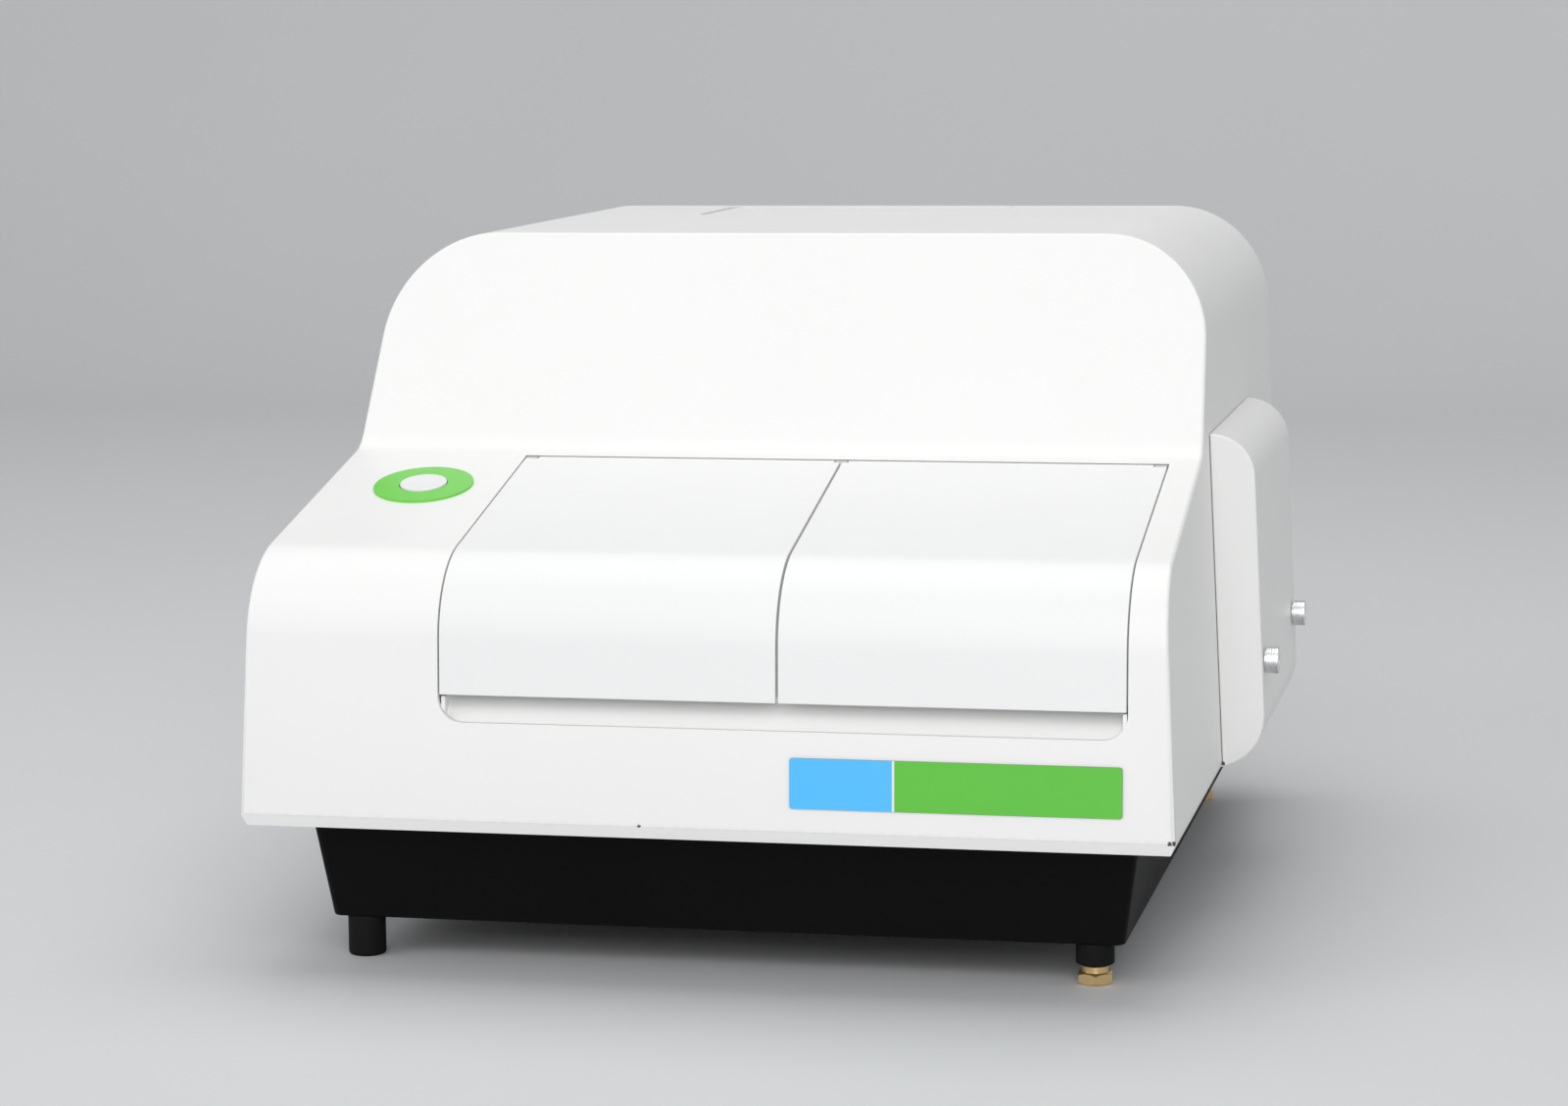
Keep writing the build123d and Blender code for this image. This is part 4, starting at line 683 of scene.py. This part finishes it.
def turn_about_z(angle):
    """Matrix of a turn about Z."""
    return Matrix.Rotation(angle, 4, "Z")


def stacked(rings):
    """A closed shape through rings of as many points each, with flat ends."""
    bm = bmesh.new()
    rows = [[bm.verts.new(point) for point in ring] for ring in rings]
    for low, high in zip(rows, rows[1:]):
        for here in range(len(low)):
            after = (here + 1) % len(low)
            bm.faces.new((low[here], low[after], high[after], high[here]))
    bm.faces.new(reversed(rows[0]))
    bm.faces.new(rows[-1])
    bmesh.ops.recalc_face_normals(bm, faces=bm.faces)
    return bm


def add_thread(bm, core, radius, start, length, lead, starts=1, steps_per_turn=20):
    """Winds a thread's ridges about Z, onto a core of the given radius."""
    steps = max(2, int(steps_per_turn * (length / lead)))
    pitch = lead / starts
    sunk = core - 0.1 * MM
    for which in range(starts):
        thread = bmesh.new()
        ridge = [(sunk, 0.02 * pitch), (radius, 0.22 * pitch), (radius, 0.42 * pitch), (sunk, 0.62 * pitch)]
        verts = [thread.verts.new((across, 0.0, start + up)) for across, up in ridge]
        edges = [thread.edges.new(pair) for pair in zip(verts, verts[1:] + verts[:1])]
        bmesh.ops.spin(
            thread, geom=verts + edges, cent=(0, 0, 0), axis=(0, 0, 1), steps=steps, use_merge=False,
            dvec=(0, 0, (length - 0.66 * pitch) / steps), angle=math.tau * steps / steps_per_turn,
        )
        bmesh.ops.holes_fill(thread, edges=[e for e in thread.edges if e.is_boundary], sides=0)
        put_in_order(thread)
        move(thread, turn_about_z(math.tau * which / starts))
        bmesh.ops.recalc_face_normals(thread, faces=thread.faces)
        join(bm, thread)


def facing(node, toward):
    """Normal of the node's widest flat face on the given side."""
    areas = {}
    for face in frame["nodes"][node].data.polygons:
        if face.normal.dot(toward) > 0.5:
            key = tuple(round(part, 3) for part in face.normal)
            areas[key] = areas.get(key, 0.0) + face.area
    return Vector(max(areas, key=areas.get)).normalized()


def upright(node, axis, centre):
    """Matrix that stands a shape made about Z on the node's low end along an axis."""
    reach = min(Vector(v.co).dot(axis) for v in frame["nodes"][node].data.vertices)
    across = Vector((-1, 0, 0))
    turn = Matrix((across, axis.cross(across), axis)).transposed().to_4x4()
    return Matrix.Translation(centre + axis * (reach - centre.dot(axis))) @ turn


def fan_blade(root, tip, low, rise, pitch, thickness, rows=7, columns=9):
    """One twisted, bellied blade that reaches out along X, as a closed shape."""
    bm = bmesh.new()
    sides = []
    for side in (-1, 1):
        grid = []
        for row in range(rows):
            share = row / (rows - 1)
            radius = root + (tip - root) * share
            tilt = pitch * (1 - 0.42 * share)
            half_rise = rise / 2 * (0.85 + 0.03 * share)
            half_run = half_rise / math.tan(tilt)
            line = []
            for column in range(columns):
                along = 2 * column / (columns - 1) - 1
                lift = 0.12 * half_run * (1 - along * along) + side * thickness / 2 * (1 - 0.6 * along * along)
                run = along * half_run - lift * math.sin(tilt)
                turn = run / radius
                height = low + rise / 2 + along * half_rise + lift * math.cos(tilt)
                line.append(bm.verts.new((radius * math.cos(turn), radius * math.sin(turn), height)))
            grid.append(line)
        sides.append(grid)
    for grid in sides:
        for near, far in zip(grid, grid[1:]):
            for column in range(columns - 1):
                bm.faces.new((near[column], far[column], far[column + 1], near[column + 1]))
    borders = [
        [grid[row][0] for row in range(rows)] + grid[-1][1:]
        + [grid[row][-1] for row in reversed(range(rows - 1))] + grid[0][-2:0:-1]
        for grid in sides
    ]
    for here in range(len(borders[0])):
        bm.faces.new((borders[0][here - 1], borders[0][here], borders[1][here], borders[1][here - 1]))
    bmesh.ops.recalc_face_normals(bm, faces=bm.faces)
    return bm


# ------------------------------------------------------------------ pieces
# node: (finish, edge radius in mm, segments)
CASING = {
    "cover_shell": ("cover paint", 0.4, 3),
    "top_lid": ("cover paint", 0.4, 2),
    "side_cover": ("box paint", 0.6, 3),
    "left_door": ("door plastic", 0.45, 3),
    "right_door": ("door plastic", 0.45, 3),
    # the scoop's finish is the cover's paint with painted light, lightened against the doors' shadow
    "finger_scoop": ("scoop paint", 0.3, 2),
    "door_frame": ("frame plastic", 0.3, 2),
}
UNDERSIDE = {
    "base_pan": ("base paint", 0.8, 3),
    "feet": ("foot rubber", 0.8, 3),
}
REAR = {
    "rear_panel": ("supply case", 0.25, 2),
    "fan_frame": ("black plastic", 0.4, 2),
    "mains_inlet": ("black plastic", 0.3, 2),
    "power_rocker": ("black plastic", 0.4, 3),
    "data_ports": ("black plastic", 0.25, 2),
    "panel_screws": ("plated steel", 0.4, 2),
}
TRANSPORT = {
    "chassis_plate": ("supply case", 0.3, 2),
    "deck_plate": ("aluminium", 0.5, 2),
    "deck_posts": ("aluminium", 0.4, 2),
    "carrier_rails": ("ground steel", 0.5, 2),
    "left_carrier": ("aluminium", 0.35, 2),
    "right_carrier": ("aluminium", 0.35, 2),
    "screw_bearings": ("black anodised", 0.5, 2),
    "gantry_walls": ("aluminium", 0.5, 2),
    "gantry_beam": ("black anodised", 0.5, 2),
    "pipettor_carriage": ("black anodised", 0.5, 2),
    "needle_holder": ("aluminium", 0.3, 2),
    "needle": ("plated steel", 0.0, 2),
    "stepper_motors": ("motor enamel", 0.6, 2),
    "wheel_motors": ("motor enamel", 0.6, 2),
    "syringe_pump": ("motor enamel", 0.6, 2),
    "syringe_plunger": ("aluminium", 0.3, 2),
    "hinge_pin": ("ground steel across", 0.3, 2),
    "button_guide": ("black plastic", 0.3, 2),
    "button_switch": ("black plastic", 0.3, 2),
}
OPTICS = {
    "measuring_head": ("black anodised", 0.5, 2),
    "optics_block": ("black anodised", 0.6, 2),
    "excitation_wheel": ("black anodised", 0.3, 2),
    "emission_wheel": ("black anodised", 0.3, 2),
    "flash_lamp": ("motor enamel", 0.5, 2),
    "photomultiplier": ("black anodised", 0.5, 2),
    "power_supply": ("supply case", 0.6, 2),
    "main_board": ("circuit green", 0.15, 1),
}
CLEAR = ("objective_lens", "excitation_filters", "emission_filters", "syringe_barrel")


def dress(table):
    """Softened copies of the table's nodes in their finishes."""
    for node, (finish, radius, segments) in table.items():
        bm = merged_copy(node)
        soften(bm, radius * MM, segments)
        put_piece(bm, node, [finish])


class READER_OT_casing(Operator):
    """White cover, lid, side cover, doors and their surround"""

    bl_idname = "reader.casing"
    bl_label = "Casing and doors"

    def execute(self, context):
        dress(CASING)
        return {"FINISHED"}


class READER_OT_underside(Operator):
    """Black base pan and foot sleeves"""

    bl_idname = "reader.underside"
    bl_label = "Base and feet"

    def execute(self, context):
        dress(UNDERSIDE)
        return {"FINISHED"}


class READER_OT_load_button(Operator):
    """Dished load button in its green printed ring"""

    bl_idname = "reader.load_button"
    bl_label = "Load button and ring"

    def execute(self, context):
        hardware = context.scene.reader_hardware
        axis = facing("load_ring", Vector((0, 0, 1)))
        low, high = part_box("load_ring")
        outer, inner, thick = (high.x - low.x) / 2, 12.1 * MM, 1.2 * MM
        ring = turned([
            (inner, 0), (outer, 0), (outer, thick - 0.35 * MM), (outer - 0.1 * MM, thick - 0.1 * MM),
            (outer - 0.35 * MM, thick), (inner + 0.25 * MM, thick), (inner + 0.07 * MM, thick - 0.07 * MM),
            (inner, thick - 0.25 * MM),
        ], 96, closed=True)
        move(ring, upright("load_ring", axis, (low + high) / 2))
        put_piece(ring, "load_ring", ["ring print"])

        cap, skirt, stem, rim = 11.75 * MM, 14.0 * MM, 4.0 * MM, 10.2 * MM
        edge, break_edge, dish_radius, dish_steps = 0.5 * MM, 0.2 * MM, 9.6 * MM, 8
        spots = [Vector(v.co) for v in frame["nodes"]["load_button"].data.vertices]
        base = min(spot.dot(axis) for spot in spots)
        heights = [spot.dot(axis) - base for spot in spots]
        top = max(heights)
        hub = frame["nodes"]["load_ring"].data.vertices
        centre = sum((Vector(v.co) for v in hub), Vector()) / len(hub)
        wide = [
            height for spot, height in zip(spots, heights)
            if ((spot - centre) - axis * (spot - centre).dot(axis)).length > skirt - 0.1 * MM
        ]
        under, over = min(wide), max(wide)
        outwards = [1 - step / dish_steps for step in range(dish_steps + 1)]
        dished = [(dish_radius * out, top - hardware.button_dish * (1 - out ** 2)) for out in outwards]
        button = turned([
            (0, 0), (stem - 0.4 * MM, 0), (stem, 0.4 * MM), (stem, under), (skirt - break_edge, under),
            (skirt, under + break_edge), (skirt, over - break_edge), (skirt - break_edge, over), (cap, over),
            (cap, top - edge), (cap - 0.07 * MM, top - 0.25 * MM), (cap - 0.25 * MM, top - 0.07 * MM),
            (cap - edge, top), (rim, top),
        ] + dished, 96)
        move(button, upright("load_button", axis, centre))
        put_piece(button, "load_button", ["button plastic"])
        return {"FINISHED"}


class READER_OT_nameplate(Operator):
    """Printed plate with a blue and a green field, and no lettering"""

    bl_idname = "reader.nameplate"
    bl_label = "Nameplate"

    def execute(self, context):
        prints = context.scene.reader_prints
        bm = merged_copy("nameplate")
        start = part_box("nameplate")[0].x + prints.divider_left
        end = start + prints.divider_width
        for cut in (start, end):
            whole = bm.verts[:] + bm.edges[:] + bm.faces[:]
            bmesh.ops.bisect_plane(bm, geom=whole, dist=1e-7, plane_co=(cut, 0, 0), plane_no=(1, 0, 0))
        soften(bm, 0.15 * MM, 2, angle=math.radians(40))
        for face in bm.faces:
            across = face.calc_center_median().x
            if face.normal.y > -0.6:
                face.material_index = 3
            else:
                face.material_index = 0 if across < start else 1 if across < end else 2
        put_piece(bm, "nameplate", ["plate blue", "plate white", "plate green", "plate edge"])
        return {"FINISHED"}


class READER_OT_thumb_screws(Operator):
    """Turned thumb screws that hold the side cover"""

    bl_idname = "reader.thumb_screws"
    bl_label = "Thumb screws"

    def execute(self, context):
        hardware = context.scene.reader_hardware
        for node in ("thumb_screw_front", "thumb_screw_rear"):
            low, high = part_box(node)
            middle = (low + high) / 2
            radius = (high.z - low.z) / 2
            length = high.x - low.x
            shank = 2.4 * MM
            neck = radius - 1.3 * MM
            seat = length - 7.0 * MM
            outline = [
                (0, 0), (shank - 0.5 * MM, 0), (shank, 0.6 * MM), (shank, seat), (neck, seat),
                (neck, seat + 0.8 * MM), (radius - 0.2 * MM, seat + 0.8 * MM), (radius, seat + 1.0 * MM),
            ]
            spacing = (length - seat - 2.0 * MM) / (hardware.groove_count + 1)
            for groove in range(1, hardware.groove_count + 1):
                at = seat + 1.0 * MM + groove * spacing
                bottom = radius - hardware.groove_depth
                outline += [(radius, at - 0.16 * MM), (bottom, at), (radius, at + 0.16 * MM)]
            outline += [
                (radius, length - 0.25 * MM), (radius - 0.25 * MM, length), (2.6 * MM, length),
                (2.4 * MM, length - 0.35 * MM), (0, length - 0.35 * MM),
            ]
            bm = turned(outline, 72)
            start = Matrix.Translation((low.x, middle.y, middle.z))
            move(bm, start @ Matrix.Rotation(QUARTER, 4, "Y"))
            put_piece(bm, node, ["plated steel"], sharp=math.radians(30))
        return {"FINISHED"}


class READER_OT_levelling_screws(Operator):
    """Brass hexagon screws under the right feet"""

    bl_idname = "reader.levelling_screws"
    bl_label = "Levelling screws"

    def execute(self, context):
        hardware = context.scene.reader_hardware
        head, collar, collar_radius, stud_radius = 6.0 * MM, 3.0 * MM, 6.5 * MM, 4.0 * MM
        core = stud_radius - 0.65 * hardware.stud_pitch
        points = 48
        angles = [math.tau * index / points for index in range(points)]

        def ring(radii, heights):
            return [(r * math.cos(a), r * math.sin(a), z) for r, a, z in zip(radii, angles, heights)]

        def circle(radius, height):
            return ring([radius] * points, [height] * points)

        for node in ("levelling_screw_front", "levelling_screw_rear"):
            low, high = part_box(node)
            middle = (low + high) / 2
            length = high.z - low.z
            flat = (high.y - low.y) / 2
            inner = 0.90 * flat
            corners = [flat / math.cos(angle % (math.pi / 3) - math.pi / 6) for angle in angles]
            drop = [(corner - inner) * math.tan(math.radians(34)) for corner in corners]
            bm = stacked([
                circle(inner, 0), ring(corners, drop), ring(corners, [head - d for d in drop]),
                circle(inner, head), circle(collar_radius, head), circle(collar_radius, head + collar - 0.4 * MM),
                circle(collar_radius - 0.4 * MM, head + collar), circle(core, head + collar),
                circle(core, length - 0.7 * MM), circle(core - 0.5 * MM, length),
            ])
            start, wound = head + collar + 0.2 * MM, length - head - collar - 1.0 * MM
            add_thread(bm, core, stud_radius, start, wound, hardware.stud_pitch)
            move(bm, Matrix.Translation((middle.x, middle.y, low.z)) @ turn_about_z(hardware.hex_turn))
            put_piece(bm, node, ["brass"], sharp=math.radians(25))
        return {"FINISHED"}


class READER_OT_lead_screws(Operator):
    """Threaded spindles that drive the carriers, the pipettor and the head"""

    bl_idname = "reader.lead_screws"
    bl_label = "Lead screws"

    def execute(self, context):
        mechanism = context.scene.reader_mechanism
        for node, along in (
            ("left_lead_screw", "Y"), ("right_lead_screw", "Y"),
            ("pipettor_lead_screw", "X"), ("head_lead_screw", "X"),
        ):
            low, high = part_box(node)
            middle = (low + high) / 2
            size = high - low
            if along == "Y":
                length, start, finish = size.y, (middle.x, low.y, middle.z), "ground steel"
                turn = Matrix.Rotation(-QUARTER, 4, "X")
            else:
                length, start, finish = size.x, (low.x, middle.y, middle.z), "ground steel across"
                turn = Matrix.Rotation(QUARTER, 4, "Y")
            radius = size.z / 2
            core = radius - mechanism.thread_depth
            bm = turned([(0, 0), (core, 0), (core, length), (0, length)], 32)
            add_thread(bm, core, radius, 0.0, length, mechanism.thread_lead, mechanism.thread_starts)
            move(bm, Matrix.Translation(start) @ turn)
            put_piece(bm, node, [finish])
        return {"FINISHED"}


class READER_OT_rear(Operator):
    """Rear panel with its fan, inlet, ports and screws"""

    bl_idname = "reader.rear"
    bl_label = "Rear panel"

    def execute(self, context):
        dress(REAR)
        mechanism = context.scene.reader_mechanism
        hardware = context.scene.reader_hardware
        axis = facing("rear_panel", Vector((0, 1, 0)))
        frame_low, frame_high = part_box("fan_frame")
        centre = (frame_low + frame_high) / 2

        reaches = [Vector(v.co).dot(axis) for v in frame["nodes"]["fan_rotor"].data.vertices]
        height = max(reaches) - min(reaches)
        hub, tip, bore, bore_depth = 17.0 * MM, 36.3 * MM, 3.05 * MM, 13.0 * MM
        rotor = turned([
            (0, bore_depth), (bore, bore_depth), (bore, 0), (hub - 0.6 * MM, 0), (hub, 0.6 * MM),
            (hub, height - 1.8 * MM), (hub - 0.5 * MM, height - 0.6 * MM), (hub - 1.8 * MM, height),
            (hub - 5.0 * MM, height), (hub - 5.3 * MM, height - 0.3 * MM), (0, height - 0.3 * MM),
        ], 56)
        for blade in range(mechanism.blade_count):
            shape = fan_blade(hub - 0.6 * MM, tip, 2.6 * MM, 15.8 * MM, mechanism.blade_pitch, 1.5 * MM)
            move(shape, turn_about_z(math.tau * blade / mechanism.blade_count))
            join(rotor, shape)
        move(rotor, upright("fan_rotor", axis, centre))
        put_piece(rotor, "fan_rotor", ["black plastic"])

        low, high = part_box("fan_guard")
        outer = (high.x - low.x) / 2
        wire = hardware.guard_wire / 2
        wire_sides = 12
        guard = bmesh.new()
        for ring in range(1, hardware.guard_rings + 1):
            middle = outer * ring / hardware.guard_rings - wire
            turns = [math.tau * step / wire_sides for step in range(wire_sides)]
            section = [(middle + wire * math.cos(turn), wire + wire * math.sin(turn)) for turn in turns]
            join(guard, turned(section, 72, closed=True))
        reach, blunt = outer + 2 * wire, 0.3 * wire
        for angle in (45, 135):
            spoke = turned([
                (0, -reach), (wire - blunt, -reach), (wire, -reach + blunt), (wire, reach - blunt),
                (wire - blunt, reach), (0, reach),
            ], wire_sides)
            lay = turn_about_z(math.radians(angle)) @ Matrix.Rotation(QUARTER, 4, "Y")
            move(spoke, Matrix.Translation((0, 0, wire)) @ lay)
            join(guard, spoke)
        move(guard, upright("fan_guard", axis, centre))
        put_piece(guard, "fan_guard", ["plated steel"])
        return {"FINISHED"}


class READER_OT_transport(Operator):
    """Deck, rails, carriers, gantry, motors and the pipettor"""

    bl_idname = "reader.transport"
    bl_label = "Plate transport"

    def execute(self, context):
        dress(TRANSPORT)
        return {"FINISHED"}


class READER_OT_optics(Operator):
    """Measuring head, filter wheels, lamp, detector, supply, board and glass"""

    bl_idname = "reader.optics"
    bl_label = "Optics and electronics"

    def execute(self, context):
        dress(OPTICS)
        for node in CLEAR:
            frame["nodes"][node].material_slots[0].material = finish_named("lens glass")
        return {"FINISHED"}


class READER_OT_stage(Operator):
    """Pale floor and backdrop, soft lamps and the camera"""

    bl_idname = "reader.stage"
    bl_label = "Stage"

    def execute(self, context):
        scene = context.scene
        stage = scene.reader_stage
        camera_data = bpy.data.cameras.new("front_left_view")
        camera_data.sensor_width = 36
        camera_data.lens = stage.lens
        camera_data.clip_end = 50
        camera = add_object("front_left_view", camera_data)
        level_right = Vector((math.cos(stage.yaw), math.sin(stage.yaw), 0))
        level_ahead = Vector((-math.sin(stage.yaw), math.cos(stage.yaw), 0))
        ahead = math.cos(stage.pitch) * level_ahead + Vector((0, 0, -math.sin(stage.pitch)))
        level_up = level_right.cross(ahead)
        right = math.cos(stage.roll) * level_right + math.sin(stage.roll) * level_up
        up = -math.sin(stage.roll) * level_right + math.cos(stage.roll) * level_up
        turn = Matrix((right, up, -ahead)).transposed().to_4x4()
        camera.matrix_world = Matrix.Translation(stage.eye) @ turn
        scene.camera = camera

        left, front, bend_start, bend_radius, top_height, width = -6, -5, 2.4, 0.9, 5, 12

        def points(geometry):
            return [part for part in geometry if isinstance(part, bmesh.types.BMVert)]

        bm = bmesh.new()
        lip = bm.verts.new((left, front, 0))
        foot = bm.verts.new((left, bend_start, 0))
        bm.edges.new((lip, foot))
        bent = bmesh.ops.spin(
            bm, geom=[foot], cent=(left, bend_start, bend_radius), axis=(1, 0, 0), angle=QUARTER, steps=24,
        )
        top = bm.verts.new((left, bend_start + bend_radius, top_height))
        bm.edges.new((points(bent["geom_last"])[0], top))
        drawn = bmesh.ops.extrude_edge_only(bm, edges=bm.edges)
        bmesh.ops.translate(bm, verts=points(drawn["geom"]), vec=(width, 0, 0))
        bmesh.ops.recalc_face_normals(bm, faces=bm.faces)
        mesh = bpy.data.meshes.new("floor_and_backdrop")
        bm.to_mesh(mesh)
        bm.free()
        mesh.shade_smooth()
        material, tree, shader, place = start_material("floor", Roughness=0.6)
        mottle = use_group(tree, "Surface grain", place, Grain=120.0, Clouds=1.2)["Mottle"]
        tint = blend_colours(tree, mottle, rgba(stage.floor_colour, 0.97), rgba(stage.floor_colour))
        tree.links.new(tint, shader.inputs["Base Color"])
        mesh.materials.append(material)
        add_object("floor_and_backdrop", mesh)

        world = bpy.data.worlds.new("soft_room")
        world.use_nodes = True
        background = world.node_tree.nodes["Background"]
        background.inputs["Color"].default_value = (0.98, 0.99, 1.0, 1)
        ray = add_node(world.node_tree, "ShaderNodeLightPath").outputs["Is Glossy Ray"]
        level = spread(world.node_tree, ray, 0.0, 1.0, stage.world_level, stage.mirror_level)
        world.node_tree.links.new(level, background.inputs["Strength"])
        scene.world = world
        for name, place, size, power in (
            ("key_lamp", (0.7, -3.1, 2.0), 2.2, stage.key_power),
            ("fill_lamp", (-2.2, -1.8, 1.6), 1.8, stage.fill_power),
            ("top_lamp", (0.0, 0.4, 2.7), 2.4, stage.top_power),
            ("low_lamp", (0.5, -2.7, 0.5), 1.0, stage.low_power),
        ):
            lamp_data = bpy.data.lights.new(name, "AREA")
            lamp_data.shape = "SQUARE"
            lamp_data.size = size
            lamp_data.energy = power
            lamp = add_object(name, lamp_data)
            lamp.location = place
            lamp.rotation_euler = (LAMP_AIM - Vector(place)).to_track_quat("-Z", "Y").to_euler()
        scene.view_settings.view_transform = "Standard"
        return {"FINISHED"}


class READER_PT_panel(Panel):
    """Lists the reader's settings and the steps that build it"""

    bl_idname = "READER_PT_panel"
    bl_label = "Plate reader"
    bl_space_type = "VIEW_3D"
    bl_region_type = "UI"
    bl_category = "Plate reader"

    def draw(self, context):
        for group in ("reader_casing", "reader_prints", "reader_hardware", "reader_mechanism", "reader_stage"):
            settings = getattr(context.scene, group)
            box = self.layout.box()
            for key in settings.bl_rna.properties.keys():
                if key not in ("rna_type", "name"):
                    box.prop(settings, key)
        for step in STEPS:
            self.layout.operator(step.bl_idname)


SETTINGS = {
    "reader_casing": CasingSettings,
    "reader_prints": PrintSettings,
    "reader_hardware": HardwareSettings,
    "reader_mechanism": MechanismSettings,
    "reader_stage": StageSettings,
}
STEPS = (
    READER_OT_stage,
    READER_OT_casing,
    READER_OT_underside,
    READER_OT_load_button,
    READER_OT_nameplate,
    READER_OT_thumb_screws,
    READER_OT_levelling_screws,
    READER_OT_rear,
    READER_OT_lead_screws,
    READER_OT_transport,
    READER_OT_optics,
)


def register():
    for name, group in SETTINGS.items():
        bpy.utils.register_class(group)
        setattr(bpy.types.Scene, name, PointerProperty(type=group))
    for step in (*STEPS, READER_PT_panel):
        bpy.utils.register_class(step)


def unregister():
    for step in reversed((*STEPS, READER_PT_panel)):
        bpy.utils.unregister_class(step)
    for name, group in reversed(SETTINGS.items()):
        delattr(bpy.types.Scene, name)
        bpy.utils.unregister_class(group)


def main():
    register()
    for step in STEPS:
        group, verb = step.bl_idname.split(".")
        getattr(getattr(bpy.ops, group), verb)()
    bpy.context.view_layer.update()


if __name__ == "__main__":
    main()
